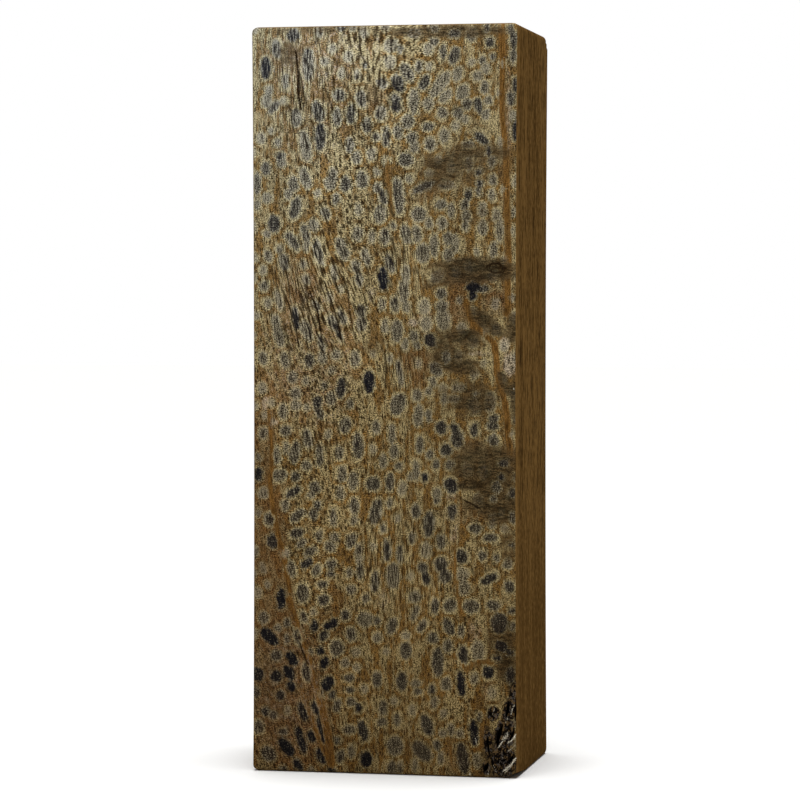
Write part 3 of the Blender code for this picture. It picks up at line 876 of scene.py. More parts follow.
    def fields(self, across: np.ndarray, up: np.ndarray) -> dict[str, np.ndarray]:
        """Gathers everything that the face's material reads.

        Args:
            across: Distances from the left edge, in mm.
            up: Heights, in mm.

        Returns:
            The values at each place, by the names that the methods above give, and "drift" in mm.
        """
        fields = self.spot_fields(across, up)
        fields.update(self.stain_fields(across, up))
        fields["drift"] = self.bent(across, up)[1] + self.seed * self.APART
        return fields


def add_node(tree: bpy.types.NodeTree, kind: str, inputs: dict, **settings: object) -> bpy.types.Node:
    """Adds a node to a tree.

    Args:
        tree: The tree.
        kind: The node's type.
        inputs: Its inputs by name or number, each a socket to link or a constant.
        settings: Its other settings.

    Returns:
        The new node.
    """
    made = tree.nodes.new(kind)
    for key, value in settings.items():
        setattr(made, key, value)
    for key, value in inputs.items():
        feed(tree, made.inputs[key], value)
    return made


def feed(tree: bpy.types.NodeTree, socket: Socket, value: object) -> None:
    """Links an output socket into an input, or sets the input to a constant.

    Args:
        tree: The tree that both lie in.
        socket: The input.
        value: The output socket or the constant.
    """
    if isinstance(value, Socket):
        tree.links.new(value, socket)
    else:
        socket.default_value = value


@dataclass
class Graph:
    """Builds one material's nodes. Most methods make a node or a few and return the socket to read."""

    name: str

    def __post_init__(self) -> None:
        """Starts the material with its Principled shader."""
        self.material = bpy.data.materials.new(self.name)
        self.material.use_nodes = True
        self.tree = self.material.node_tree
        self.shader = self.tree.nodes["Principled BSDF"]

    def finish(self, colour: object, roughness: float) -> bpy.types.Material:
        """Gives the shader its colour and roughness.

        Args:
            colour: A socket or a constant.
            roughness: A constant.

        Returns:
            The finished material.
        """
        feed(self.tree, self.shader.inputs["Base Color"], colour)
        self.shader.inputs["Roughness"].default_value = roughness
        return self.material

    def node(self, kind: str, inputs: dict, **settings: object) -> bpy.types.Node:
        """Adds a node of this kind, with its settings and its inputs by name or number."""
        return add_node(self.tree, kind, inputs, **settings)

    def place(self) -> Socket:
        """The place on the object, in mm."""
        metres = self.node("ShaderNodeTexCoord", {}).outputs["Object"]
        return self.scaled(metres, 1 / MM, 1 / MM, 1 / MM)

    def parts(self, vector: Socket) -> bpy.types.bpy_prop_collection:
        """The vector's three parts, by their letters."""
        return self.node("ShaderNodeSeparateXYZ", {0: vector}).outputs

    def attribute(self, name: str) -> Socket:
        """The value that the mesh carries under this name."""
        return self.node("ShaderNodeAttribute", {}, attribute_name=name).outputs["Fac"]

    def math(self, operation: str, *values: object, clamp: bool = False) -> Socket:
        """One sum on one, two or three values."""
        made = self.node("ShaderNodeMath", dict(enumerate(values)), operation=operation, use_clamp=clamp)
        return made.outputs[0]

    def chained(self, operation: str, *values: object) -> Socket:
        """Joins values by one operation.

        Args:
            operation: Which.
            values: Two or more sockets or constants.

        Returns:
            The result.
        """
        total = values[0]
        for value in values[1:]:
            total = self.math(operation, total, value)
        return total

    def add(self, *values: object) -> Socket:
        """All the values added together."""
        return self.chained("ADD", *values)

    def product(self, *values: object) -> Socket:
        """All the values multiplied together."""
        return self.chained("MULTIPLY", *values)

    def ramp(self, value: object, slope: object, start: object) -> Socket:
        """The value times the slope, on top of the start."""
        return self.math("MULTIPLY_ADD", value, slope, start)

    def less(self, value: object, share: float) -> Socket:
        """What is left of 1 when this share of the value is taken off."""
        return self.ramp(value, -share, 1.0)

    def held(self, value: object) -> Socket:
        """The value held between 0 and 1."""
        return self.math("MULTIPLY", value, 1.0, clamp=True)

    def sway(self, value: object, reach: float) -> Socket:
        """A noise value of 0 to 1 turned into one that swings about 0, by the reach in all."""
        return self.ramp(value, reach, -reach / 2)

    def flat(self, vector: Socket, first: str, second: str, drift: object = 0.0) -> Socket:
        """Lays a place out flat.

        Args:
            vector: The place.
            first: The letter of the part that becomes the first.
            second: The letter of the part that becomes the second.
            drift: What is added to the first.

        Returns:
            The two parts as the first two of a new vector.
        """
        parts = self.parts(vector)
        start = self.math("ADD", parts[first], drift)
        return self.node("ShaderNodeCombineXYZ", {"X": start, "Y": parts[second]}).outputs[0]

    def scaled(self, vector: object, *parts: float) -> Socket:
        """The vector with its parts multiplied."""
        inputs = {0: vector, 1: (*parts, 1.0)[:3]}
        return self.node("ShaderNodeVectorMath", inputs, operation="MULTIPLY").outputs[0]

    def noise(self, place: Socket, across: float, along: float, detail: float = 1.0) -> Socket:
        """Makes soft cloudy noise.

        Args:
            place: The place on the face, in mm.
            across: How many features it has for each mm across the grain.
            along: How many it has for each mm along it.
            detail: How many finer levels it has.

        Returns:
            The noise, from 0 to 1.
        """
        place = self.scaled(place, across, along)
        inputs = {"Vector": place, "Scale": 1.0, "Detail": detail, "Roughness": NOISE_ROUGHNESS}
        return self.node("ShaderNodeTexNoise", inputs, noise_dimensions="2D").outputs["Fac"]

    def cells(self, place: Socket, across: float, along: float, slope: float, start: float) -> Socket:
        """Scatters small marks of random sizes.

        Args:
            place: The place on the face, in mm.
            across: How many marks there are for each mm across the grain.
            along: How many there are for each mm along it.
            slope: By how much their reaches differ, as a share of their spacing.
            start: The smallest reach, below 0 where some marks are left out.

        Returns:
            How far the place lies outside the nearest mark, negative inside it.
        """
        inputs = {"Vector": self.scaled(place, across, along), "Scale": 1.0}
        made = self.node("ShaderNodeTexVoronoi", inputs, feature="F1", voronoi_dimensions="2D")
        chance = self.node("ShaderNodeSeparateColor", {0: made.outputs["Color"]}).outputs[0]
        return self.math("SUBTRACT", made.outputs["Distance"], self.ramp(chance, slope, start))

    def step(self, value: object, low: float, high: float, strength: float = 1.0) -> Socket:
        """Rises smoothly between two limits.

        Args:
            value: What is read.
            low: Where the result is still 0.
            high: Where it is full. It falls where low is above high.
            strength: The full result.

        Returns:
            The result, from 0 to the strength.
        """
        start, end, first, last = (low, high, 0.0, strength) if low < high else (high, low, strength, 0.0)
        inputs = {"Value": value, "From Min": start, "From Max": end, "To Min": first, "To Max": last}
        return self.node("ShaderNodeMapRange", inputs, interpolation_type="SMOOTHSTEP").outputs[0]

    def mix(self, share: object, first: object, second: object) -> Socket:
        """Blends two colours.

        Args:
            share: How much of the second there is, from 0 to 1.
            first: The first colour.
            second: The second colour.

        Returns:
            The blend.
        """
        made = self.node("ShaderNodeMix", {"Factor": share}, data_type="RGBA")
        feed(self.tree, made.inputs[MIX_FIRST], first)
        feed(self.tree, made.inputs[MIX_SECOND], second)
        return made.outputs[MIX_RESULT]

    def shaded(self, colour: object, shade: object) -> Socket:
        """The colour made lighter or darker by the shade, which is 1 for no change."""
        return self.node("ShaderNodeVectorMath", {0: colour, "Scale": shade}, operation="SCALE").outputs[0]


@dataclass(frozen=True)
class SpaltedWood:
    """The block's finish: figured broad faces, plain sides and end grain, sanded but not polished.

    The figure's colour is multiplied by the tints, which paint a sheen on its top and darken its foot, partly
    as painted shade, and darkest is the least shade of its glints. There is no mirror light, which would lay
    a grey haze on the sides.
    """

    beige: tuple = linear(148, 132, 93)
    amber: tuple = linear(113, 82, 37)
    brown: tuple = linear(93, 70, 38)
    vein: tuple = linear(100, 71, 34)
    red_brown: tuple = linear(98, 69, 42)
    cream: tuple = linear(170, 157, 117)
    # Pale bleached wood, and at the top left painted sheen.
    bleach_and_sheen: tuple = linear(164, 150, 128)
    fleck: tuple = linear(50, 35, 15)
    pore: tuple = linear(28, 18, 8)
    core_pale: tuple = linear(126, 119, 101)
    core_dark: tuple = linear(25, 24, 26)
    smoke_pale: tuple = linear(85, 69, 45)
    smoke_dark: tuple = linear(36, 29, 18)
    # Tints: a painted sheen at the top, and at the foot a darkening that is partly painted shade and partly
    # the wood's own warmer tone.
    top_sheen_tint: tuple = (1.26, 1.44, 1.86, 1.0)
    foot_tone_and_shade_tint: tuple = (0.78, 0.72, 0.64, 1.0)
    bark_dark: tuple = linear(17, 14, 13)
    bark_brown: tuple = linear(98, 80, 54)
    bark_mauve: tuple = linear(92, 88, 86)
    # The torn fibres' cream, partly a painted glint.
    fibre: tuple = linear(186, 184, 172)
    # Painted shade in the pocket's seams.
    hollow: tuple = linear(5, 4, 3)
    side_pale: tuple = linear(120, 90, 49)
    side_brown: tuple = linear(76, 54, 25)
    side_dark: tuple = linear(30, 19, 8)
    end_pale: tuple = linear(112, 92, 60)
    end_dark: tuple = linear(66, 50, 28)
    roughness: float = 0.6
    specular: float = 0.0
    darkest: float = 0.12

    # Between which heights in mm the foot's darkening, partly painted shade, and the top's painted sheen
    # grow.
    FOOT = (75, -5)
    TOP = (60, 135)
    # Between which distances right of the middle the painted sheen grows, and its least share.
    LEFTWARDS = (20, -20)
    RIGHT_SHARE = 0.32
    # How much of the top's painted sheen a vein keeps off.
    VEIN_KEPT = 0.85

    # The heights in mm between which a plain side turns open-pored, and the pale band's place at its front.
    OPEN_PORED = (24, 52)
    FRONT_BAND = (-12.5, -15.5)
    # Where the pith lies as seen on an end, in mm, and how many radians a ring takes for each mm.
    PITH = (-26.0, -62.0, 0.0)
    RINGS = 1.2

    def material(self) -> bpy.types.Material:
        """Builds the node tree.

        Returns:
            The finished material.
        """
        graph = Graph("spalted_wood")
        place = graph.place()
        grain = graph.flat(place, "X", "Z", graph.attribute("drift"))
        figured = self.painted_sheen_and_shade(graph, place, FiguredFace(graph, self, grain).shading())
        plain = self.plain_side(graph, graph.flat(place, "Y", "Z"))
        end = self.end_grain(graph, graph.flat(place, "X", "Y"))
        side = graph.attribute("side")
        colour = graph.mix(graph.step(side, 0.3, 0.7), figured, plain)
        colour = graph.mix(graph.step(side, 1.3, 1.7), colour, end)
        graph.shader.inputs["Specular IOR Level"].default_value = self.specular
        return graph.finish(colour, self.roughness)

    def painted_sheen_and_shade(self, graph: Graph, place: Socket, colour: Socket) -> Socket:
        """Lays a painted sheen on the figure towards the block's top, less in a vein, and darkens it towards
        its foot, partly as painted shade.

        Args:
            graph: The material's graph.
            place: The place on the block, in mm.
            colour: The figure's colour.

        Returns:
            The colour with its painted sheen and foot shade.
        """
        parts = graph.parts(place)
        left = graph.add(graph.step(parts["X"], *self.LEFTWARDS, 1 - self.RIGHT_SHARE), self.RIGHT_SHARE)
        # The foot's darkening: partly painted shade, partly the wood's own warmer tone.
        foot = graph.mix(graph.step(parts["Z"], *self.FOOT), (1, 1, 1, 1), self.foot_tone_and_shade_tint)
        # The painted sheen: greyer and lighter towards the top, more on the left, less in a vein.
        grey = graph.product(
            graph.step(parts["Z"], *self.TOP), left, graph.less(graph.attribute("vein"), self.VEIN_KEPT)
        )
        tint = graph.mix(grey, foot, self.top_sheen_tint)
        return graph.node("ShaderNodeVectorMath", {0: colour, 1: tint}, operation="MULTIPLY").outputs[0]

    def plain_side(self, graph: Graph, grain: Socket) -> Socket:
        """The straight brown grain of the narrow sides, with dark vessel lines above.

        Args:
            graph: The material's graph.
            grain: The place on the side, in mm.

        Returns:
            The side's colour.
        """
        parts = graph.parts(grain)
        upper = graph.step(parts["Y"], *self.OPEN_PORED)
        band = graph.step(parts["X"], *self.FRONT_BAND, 0.35)
        lift = graph.add(
            graph.sway(graph.noise(grain, 0.22, 0.012, 3), 1.1),
            graph.sway(graph.noise(grain, 1.3, 0.1, 3), 1.2),
            graph.sway(graph.noise(grain, 1.4, 0.9, 2), 1.6),
            graph.product(upper, 0.34), band, 0.25,
        )
        colour = graph.mix(graph.step(lift, -0.1, 1.1), self.side_brown, self.side_pale)
        vessels = graph.step(graph.cells(grain, 1.5, 0.15, 0.4, -0.1), 0.04, -0.04)
        slim = graph.step(graph.noise(grain, 2.0, 0.13), 0.6, 0.7)
        dark = graph.product(graph.math("MAXIMUM", vessels, graph.product(slim, 0.6)), upper)
        return graph.mix(dark, colour, self.side_dark)

    def end_grain(self, graph: Graph, grain: Socket) -> Socket:
        """The cut ends: faint growth arcs, round pores and blots of stain.

        Args:
            graph: The material's graph.
            grain: The place on the end, in mm.

        Returns:
            The end's colour.
        """
        pith = graph.node("ShaderNodeVectorMath", {0: grain, 1: self.PITH}, operation="DISTANCE")
        out = graph.add(pith.outputs["Value"], graph.sway(graph.noise(grain, 0.1, 0.1), 3.5))
        ring = graph.math("SINE", graph.product(out, self.RINGS))
        lift = graph.add(graph.product(ring, 0.09), graph.sway(graph.noise(grain, 3.4, 3.4, 2), 1.2), 0.5)
        colour = graph.mix(graph.step(lift, 0.1, 0.9), self.end_dark, self.end_pale)
        blot = graph.step(graph.noise(grain, 0.2, 0.2, 3), 0.54, 0.74, 0.5)
        colour = graph.mix(blot, colour, self.core_dark)
        pore = graph.step(graph.cells(grain, 1.5, 1.5, 0.18, 0.06), 0.05, -0.05, 0.85)
        return graph.mix(pore, colour, self.pore)


@dataclass
class FiguredFace:
    """The shading of a broad face, laid on in layers from its mesh's values and from noise.

    Attributes:
        graph: The material's graph.
        wood: The finish, whose colours it takes.
        grain: The place on the face in mm, moved aside where the grain bends.
    """

    graph: Graph
    wood: SpaltedWood
    grain: Socket

    def __post_init__(self) -> None:
        """Makes what several layers share: noises, the mesh's values and the edges of spots and veins."""
        graph, grain = self.graph, self.grain
        self.fine = graph.noise(grain, 5.4, 4.0, 0)
        self.dashes = graph.noise(grain, 4.4, 0.6, 0)
        self.ragged = graph.noise(grain, 1.5, 1.0)
        self.streak = graph.noise(grain, 1.2, 0.12, 2)
        self.clouds = graph.noise(grain, 0.45, 0.14, 2)
        self.streaky = graph.attribute("streaky")
        self.calm = graph.attribute("calm")
        self.dark = graph.attribute("dark")
        drawn_out = graph.ramp(self.streaky, 0.5, 0.35)
        drawn_out = graph.product(graph.math("SUBTRACT", self.dashes, self.fine), drawn_out)
        self.grains = graph.add(self.fine, drawn_out)
        vein = graph.attribute("vein")
        frayed = graph.step(graph.add(vein, graph.sway(self.streak, 0.9)), 0.1, 0.8)
        self.vein = graph.product(frayed, graph.step(vein, 0.0, 0.3))
        spot = graph.attribute("spot")
        self.edge = graph.add(spot, graph.sway(self.ragged, 0.6), graph.sway(self.fine, 0.3), -0.1)
        frayed = graph.add(self.edge, graph.sway(self.grains, 0.5), graph.product(self.vein, 0.6))
        self.inside = graph.step(frayed, 0.28, -0.18)
        self.rim = graph.product(graph.step(frayed, -0.3, 0.1), graph.step(frayed, 0.55, 0.15))
        self.rim = graph.product(self.rim, graph.attribute("halo"))

    def shading(self) -> Socket:
        """Lays the layers on in turn.

        Returns:
            The face's colour.
        """
        for layer in (
            self.ground, self.rims, self.flecks, self.cores, self.pores,
            self.smoke, self.vessel_lines, self.glints, self.bark,
        ):
            layer()
        return self.colour

    def lay(self, share: object, colour: object) -> None:
        """Lays a colour over the face, by this share."""
        self.colour = self.graph.mix(share, self.colour, colour)

    def ground(self) -> None:
        """Starts with the wood between the spots: amber in a net round them, in drifts and in the veins."""
        graph, wood = self.graph, self.wood
        net = graph.step(graph.add(graph.attribute("net"), graph.sway(self.ragged, 0.4)), 0.8, 0.25)
        net = graph.product(net, graph.step(self.edge, 0.1, 0.4), graph.step(self.edge, 1.4, 0.7))
        swing = graph.product(graph.sway(self.streak, 1.0), graph.ramp(self.streaky, 0.6, 0.4))
        drift = graph.step(graph.add(self.clouds, swing), 0.46, 0.6)
        drift = graph.product(drift, graph.step(self.edge, 0.2, 0.5))
        amber = graph.math("MAXIMUM", graph.product(net, 0.9), graph.product(drift, 0.9))
        self.amber = graph.math("MAXIMUM", amber, self.vein)
        reddish = graph.product(graph.attribute("reddish"), 0.8)
        warm = graph.mix(graph.step(self.ragged, 0.4, 0.62), wood.brown, wood.amber)
        warm = graph.mix(reddish, warm, wood.red_brown)
        shade = graph.add(graph.sway(self.dashes, 1.6), graph.sway(self.streak, 1.0), 1.0)
        warm = graph.mix(self.vein, warm, graph.shaded(wood.vein[:3], shade))
        self.colour = graph.mix(reddish, wood.beige, wood.red_brown)
        self.lay(self.amber, warm)

    def rims(self) -> None:
        """Lays on the spots' cream rims, the bleaching and, at the top left, painted sheen."""
        graph = self.graph
        self.lay(graph.product(self.rim, graph.ramp(self.calm, -0.5, 0.8)), self.wood.cream)
        # Bleached wood, and at the top left painted sheen.
        bleached_and_sheen = graph.attribute("bleached_and_sheen")
        patchy = graph.add(bleached_and_sheen, graph.sway(self.ragged, 0.8), graph.sway(self.fine, 0.4))
        patchy = graph.product(graph.step(patchy, 0.1, 0.9), graph.step(bleached_and_sheen, 0.0, 0.2))
        self.lay(graph.product(patchy, 0.8), self.wood.bleach_and_sheen)

    def flecks(self) -> None:
        """Sprinkles on small dark flecks, fewer on amber and calm wood, in veins and on rims."""
        graph = self.graph
        few = graph.ramp(graph.math("MAXIMUM", self.amber, self.calm), -0.4, 0.26)
        few = graph.ramp(self.vein, -0.5, few)
        sprinkle = graph.add(few, graph.product(self.rim, -0.25), graph.sway(self.grains, 4.6))
        self.lay(graph.product(graph.held(sprinkle), 0.9), self.wood.fleck)

    def cores(self) -> None:
        """Lays on the spots' insides, pale grey to blue black, blotched as the grain is."""
        graph = self.graph
        depth = graph.step(self.edge, 0.05, -0.6, 0.3)
        blot = graph.add(graph.ramp(self.dark, 1.3, -0.14), depth, graph.sway(self.grains, 3.8))
        core = graph.mix(graph.held(blot), self.wood.core_pale, self.wood.core_dark)
        self.lay(graph.product(self.inside, graph.ramp(self.dark, 0.45, 0.58)), core)

    def pores(self) -> None:
        """Opens the dark pores outside the spots: round ones, and long ones where the wood is streaky."""
        graph = self.graph
        short = graph.step(graph.cells(self.grain, 1.7, 0.75, 0.26, 0.06), 0.08, -0.06)
        short = graph.product(short, graph.step(self.streaky, 1.0, 0.3))
        long = graph.step(graph.cells(self.grain, 1.7, 0.28, 0.28, 0.04), 0.08, -0.05)
        long = graph.product(long, graph.step(self.streaky, 0.1, 0.7, 0.95))
        force = graph.product(graph.less(self.calm, 0.6), graph.less(self.vein, 0.8))
        dark = graph.product(graph.math("MAXIMUM", short, long), force, 0.82)
        self.lay(graph.product(dark, graph.step(self.edge, -0.1, 0.25)), self.wood.pore)

    def smoke(self) -> None:
        """Lays on the smoke stain in smears and hairs, through which the darkest spots still show."""
        graph = self.graph
        smoke = graph.attribute("smoke")
        sag = graph.scaled(self.ragged, 0.0, 0.9)
        bowed = graph.node("ShaderNodeVectorMath", {0: self.grain, 1: sag}, operation="ADD").outputs[0]
        smears, hairs = graph.noise(bowed, 0.3, 1.6, 2), graph.noise(bowed, 0.7, 4.2, 0)
        haze = graph.add(graph.product(smoke, 1.25), graph.sway(smears, 1.1), graph.sway(self.clouds, 0.4))
        dense = graph.step(graph.add(haze, graph.sway(hairs, 1.8)), 0.2, 1.3)
        cover = graph.product(graph.step(haze, -0.1, 0.8), graph.step(smoke, 0.0, 0.5), 0.88)
        shows = graph.product(self.inside, graph.step(self.dark, 0.45, 0.7), -0.8)
        self.cover = graph.ramp(cover, shows, cover)
        self.lay(self.cover, graph.mix(dense, self.wood.smoke_pale, self.wood.smoke_dark))

    def vessel_lines(self) -> None:
        """Draws the long dark vessel lines."""
        graph = self.graph
        aside = graph.add(graph.math("ABSOLUTE", graph.attribute("line")), graph.sway(self.fine, 0.25))
        self.lay(graph.product(graph.step(aside, 0.26, 0.08), graph.attribute("drawn")), self.wood.pore)

    def glints(self) -> None:
        """Makes the grain glint, less on calm wood, in veins and under smoke."""
        graph = self.graph
        force = graph.product(graph.less(self.calm, 0.35), graph.less(self.vein, 0.4))
        force = graph.product(force, graph.less(self.cover, 0.45))
        small, broad = graph.noise(self.grain, 6.0, 5.4, 0), graph.noise(self.grain, 0.16, 0.1)
        tone = graph.add(graph.sway(small, 2.8), graph.sway(broad, 0.7))
        shade = graph.ramp(tone, force, graph.ramp(self.calm, -0.2, 1.04))
        self.colour = graph.shaded(self.colour, graph.math("MAXIMUM", shade, self.wood.darkest))

    def bark(self) -> None:
        """Lays on the pocket's crumbled bark, its torn pale fibres, partly painted glints, and painted shade
        in its seams.
        """
        graph, wood = self.graph, self.wood
        crumbs = graph.noise(self.grain, 1.9, 1.2)
        lumps = graph.noise(graph.scaled(self.grain, -1.0, 1.0), 1.1, 0.9)
        grit = graph.noise(self.grain, 5.2, 4.4, 0)
        speckled = graph.add(crumbs, graph.sway(grit, 0.5))
        bark = graph.mix(graph.step(speckled, 0.5, 0.68), wood.bark_dark, wood.bark_brown)
        mauve = graph.product(graph.step(lumps, 0.5, 0.6), graph.step(grit, 0.35, 0.6), 0.7)
        bark = graph.mix(mauve, bark, wood.bark_mauve)
        self.lay(graph.step(graph.add(graph.attribute("bark"), graph.sway(crumbs, 0.9)), 0.2, 0.55), bark)
        # The torn fibres' cream is partly a painted glint.
        ridge = graph.attribute("ridge")
        torn = graph.add(ridge, graph.sway(grit, 2.2), graph.sway(crumbs, 0.8))
        self.lay(graph.product(graph.step(torn, 0.35, 1.1), graph.step(ridge, 0.1, 0.6)), wood.fibre)
        # Painted shade in the seams, near black where they are deepest.
        self.lay(graph.attribute("crevice"), wood.hollow)


@dataclass
class WoodBlock:
    """The block itself: one closed skin, fine enough to carry the figure and the broken corners.

    Lengths are in mm.

    Attributes:
        long_radius: The rounding of the four long edges.
        end_radius: The rounding of the edges round the two ends.
        hollow: How far the narrow sides are drawn in at mid height.
        right_foot: How far the right side's foot is rounded, as a share of the other sides'.
        face_step: The spacing of the skin's points across the front.
        back_step: The spacing across the back.
        side_step: The spacing across a narrow side.
        level_step: The spacing up the block.
        edge_segments: How many steps round off a long edge.
        end_segments: How many steps round off an end's edge.
        end_insets: How far each ring of points on a cut end lies inside its outline.
        end_share: How much of an end's rounding shows end grain, as a share of its radius.
        cuts: How many cuts make the skin finer at the pocket and the nick.
        barely: How far a point may shift and still count as on its sawn face.
        pocket_wide: How far left of the right edge the finer skin of the pocket reaches.
        pocket_tall: From where to where it reaches up.
        pocket_deep: How far behind the front it reaches.
        pressed_deep: How far behind the front the pocket still moves points.
        pressed_tall: From where to where up the block it does so.
        pressed_from: How far right of the middle it starts to, as a share of the width.
        nick_from_front: The saw nick's distance from the front.
        nick_half_width: Half its width.
        nick_depth: Its depth.
        nick_length: Its length.
        nick_room: How far beyond the nick's middle the finer skin reaches.
        broken: Each broken corner: its side of the middle, and the break's reach along X, Y and Z.
    """

    long_radius: float = 0.35
    end_radius: float = 1.0
    hollow: float = 0.25
    right_foot: float = 0.45
    face_step: float = 0.38
    back_step: float = 0.6
    side_step: float = 0.9
    level_step: float = 0.45
    edge_segments: int = 3
    end_segments: int = 5
    end_insets: tuple = (9.0, 5.0, 3.2, 2.2, 1.5)
    end_share: float = 0.12
    cuts: int = 3
    barely: float = 0.05
    pocket_wide: float = 8.0
    pocket_tall: tuple = (0.6, 16.0)
    pocket_deep: float = 0.3
    pressed_deep: float = 0.6
    pressed_tall: tuple = (0.2, 18.0)
    pressed_from: float = 0.3
    nick_from_front: float = 21.0
    nick_half_width: float = 0.5
    nick_depth: float = 0.35
    nick_length: float = 1.0
    nick_room: float = 1.6
    broken: tuple = (
        ((1, -1, -1), (2.4, 13.0, 1.2)),
        ((1, 1, 1), (1.8, 2.8, 2.6)),
        ((-1, 1, -1), (1.4, 3.0, 2.0)),
    )

    def __post_init__(self) -> None:
        """Reads the block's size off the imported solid."""
        low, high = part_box("wood_block")
        self.width, self.thickness, self.length = ((high - low) / MM)

    def outline(self) -> np.ndarray:
        """Draws the block's outline as seen from above.

        Returns:
            Its points in mm, anticlockwise from its front left.
        """
        radius = self.long_radius
        half_x, half_y = self.width / 2 - radius, self.thickness / 2 - radius
        corners = (
            ((half_x, -half_y), -90, 2 * half_x, self.face_step),
            ((half_x, half_y), 0, 2 * half_y, self.side_step),
            ((-half_x, half_y), 90, 2 * half_x, self.back_step),
            ((-half_x, -half_y), 180, 2 * half_y, self.side_step),
        )
        points: list[tuple[float, float]] = []
        for (x, y), start, run, spacing in corners:
            count = round(run / spacing)
            out = Vector((math.cos(math.radians(start)), math.sin(math.radians(start))))
            along = Vector((-out.y, out.x))
            first = Vector((x, y)) + radius * out - run * along
            points += [tuple(first + along * run * i / count) for i in range(count)]
            for i in range(self.edge_segments):
                turn = math.radians(start + 90 * i / self.edge_segments)
                points.append((x + radius * math.cos(turn), y + radius * math.sin(turn)))
        return np.array(points)

    def rings(self) -> list[tuple[float, float]]:
        """Lists the skin's rings of points from the base to the top.

        Returns:
            Each ring's height, and how far it is drawn in, in mm.
        """
        turns = [math.radians(90 * i / self.end_segments) for i in range(self.end_segments)]
        foot = [(0.0, inset) for inset in self.end_insets]
        radius = self.end_radius
        foot += [(radius * (1 - math.cos(turn)), radius * (1 - math.sin(turn))) for turn in turns]
        span = self.length - 2 * self.end_radius
        count = round(span / self.level_step)
        middle = [(self.end_radius + span * i / count, 0.0) for i in range(count + 1)]
        return foot + middle + [(self.length - low, inset) for low, inset in reversed(foot)]

    def drawn_in(self, height: np.ndarray) -> np.ndarray:
        """How far the narrow sides are drawn in at this height, in mm."""
        share = height / self.length
        return self.hollow * 4 * share * (1 - share)

    def skin(self) -> bmesh.types.BMesh:
        """Builds the block's closed skin.

        Returns:
            The skin, before its corners are broken.
        """
        outline = self.outline()
        half = np.array([self.width / 2, self.thickness / 2])
        bm = bmesh.new()
        loops = []
        for height, inset in self.rings():
            ring = outline * (half - inset) / half
            if height < self.end_radius and inset <= self.end_radius:
                right = outline[:, 0] > 0
                ring[right, 0] = outline[right, 0] * (half[0] - inset * self.right_foot) / half[0]
            ring[:, 0] *= 1 - self.drawn_in(height) / half[0]
            loops.append([bm.verts.new((x * MM, y * MM, height * MM)) for x, y in ring])
        count = len(outline)
        for lower, upper in zip(loops, loops[1:]):
            for i in range(count):
                j = (i + 1) % count
                bm.faces.new((lower[i], lower[j], upper[j], upper[i]))
        bm.faces.new(list(reversed(loops[0])))
        bm.faces.new(loops[-1])
        return bm

    def refine(self, bm: bmesh.types.BMesh, low: tuple, high: tuple) -> None:
        """Splits the skin's faces that lie in a box into a finer grid.

        Args:
            bm: The skin.
            low: The box's lower corner, in mm.
            high: Its upper corner, in mm.
        """
        faces = []
        for face in bm.faces:
            middle = face.calc_center_median() / MM
            if all(least < part < most for least, part, most in zip(low, middle, high)):
                faces.append(face)
        edges = list({edge for face in faces for edge in face.edges})
        bmesh.ops.subdivide_edges(bm, edges=edges, cuts=self.cuts, use_grid_fill=True)

    def cut_nick(self, points: np.ndarray) -> np.ndarray:
        """Lowers the points of the right side's top edge into its small saw nick.

        Args:
            points: The skin's points, in mm.

        Returns:
            The moved points.
        """
        points = points.copy()
        middle = self.nick_from_front - self.thickness / 2
        reach = (self.width / 2 + self.nick_length - points[:, 0]) / (2 * self.nick_length)
        deepest, shallowest = 2 * self.nick_depth, self.nick_depth / 4
        floor = self.length - deepest + (deepest - shallowest) * reach
        aside = np.abs(points[:, 1] - middle) / self.nick_half_width
        floor += aside * (self.length + self.nick_depth - floor)
        inside = (reach > 0) & (reach < 1) & (aside < 1) & (points[:, 2] > floor)
        points[inside, 2] = floor[inside]
        return points

    def press_pocket(self, points: np.ndarray, pocket: BarkPocket) -> np.ndarray:
        """Presses the pocket's seams and crumbs into the front.

        Args:
            points: The skin's points, in mm.
            pocket: The bark pocket.

        Returns:
            The moved points.
        """
        points = points.copy()
        foot, top = self.pressed_tall
        near = (points[:, 1] < self.pressed_deep - self.thickness / 2) & (points[:, 2] < top)
        near &= (points[:, 2] > foot) & (points[:, 0] > self.pressed_from * self.width)
        across, up = points[near, 0] + self.width / 2, points[near, 2]
        points[near, 1] += pocket.depth(across, up)
        return points

    def kinds(self, points: np.ndarray) -> np.ndarray:
        """Tells which kind of surface each point of the skin lies on.

        Args:
            points: The skin's points, in mm.

        Returns:
            Their values of Side.
        """
        from_side = self.width / 2 - self.drawn_in(points[:, 2]) - np.abs(points[:, 0])
        beside = from_side < self.thickness / 2 - np.abs(points[:, 1])
        end = np.minimum(points[:, 2], self.length - points[:, 2]) < self.end_share * self.end_radius
        kind = np.where(beside, Side.PLAIN.value, Side.FIGURED.value)
        return np.where(end, Side.END.value, kind)

    def break_corners(self, points: np.ndarray) -> np.ndarray:
        """Lays every point beyond a broken corner's plane onto that plane.

        Args:
            points: The skin's points, in mm.

        Returns:
            The moved points.
        """
        points = points.copy()
        half = np.array([self.width / 2, self.thickness / 2, self.length / 2])
        middle = np.array([0, 0, self.length / 2])
        for side, reach in self.broken:
            side, reach = np.array(side), np.array(reach)
            corner = middle + side * half
            normal = side / reach
            normal = normal / np.linalg.norm(normal)
            first = corner - np.array([side[0] * reach[0], 0, 0])
            beyond = np.maximum((points - first) @ normal, 0)
            points -= beyond[:, None] * normal
        return points

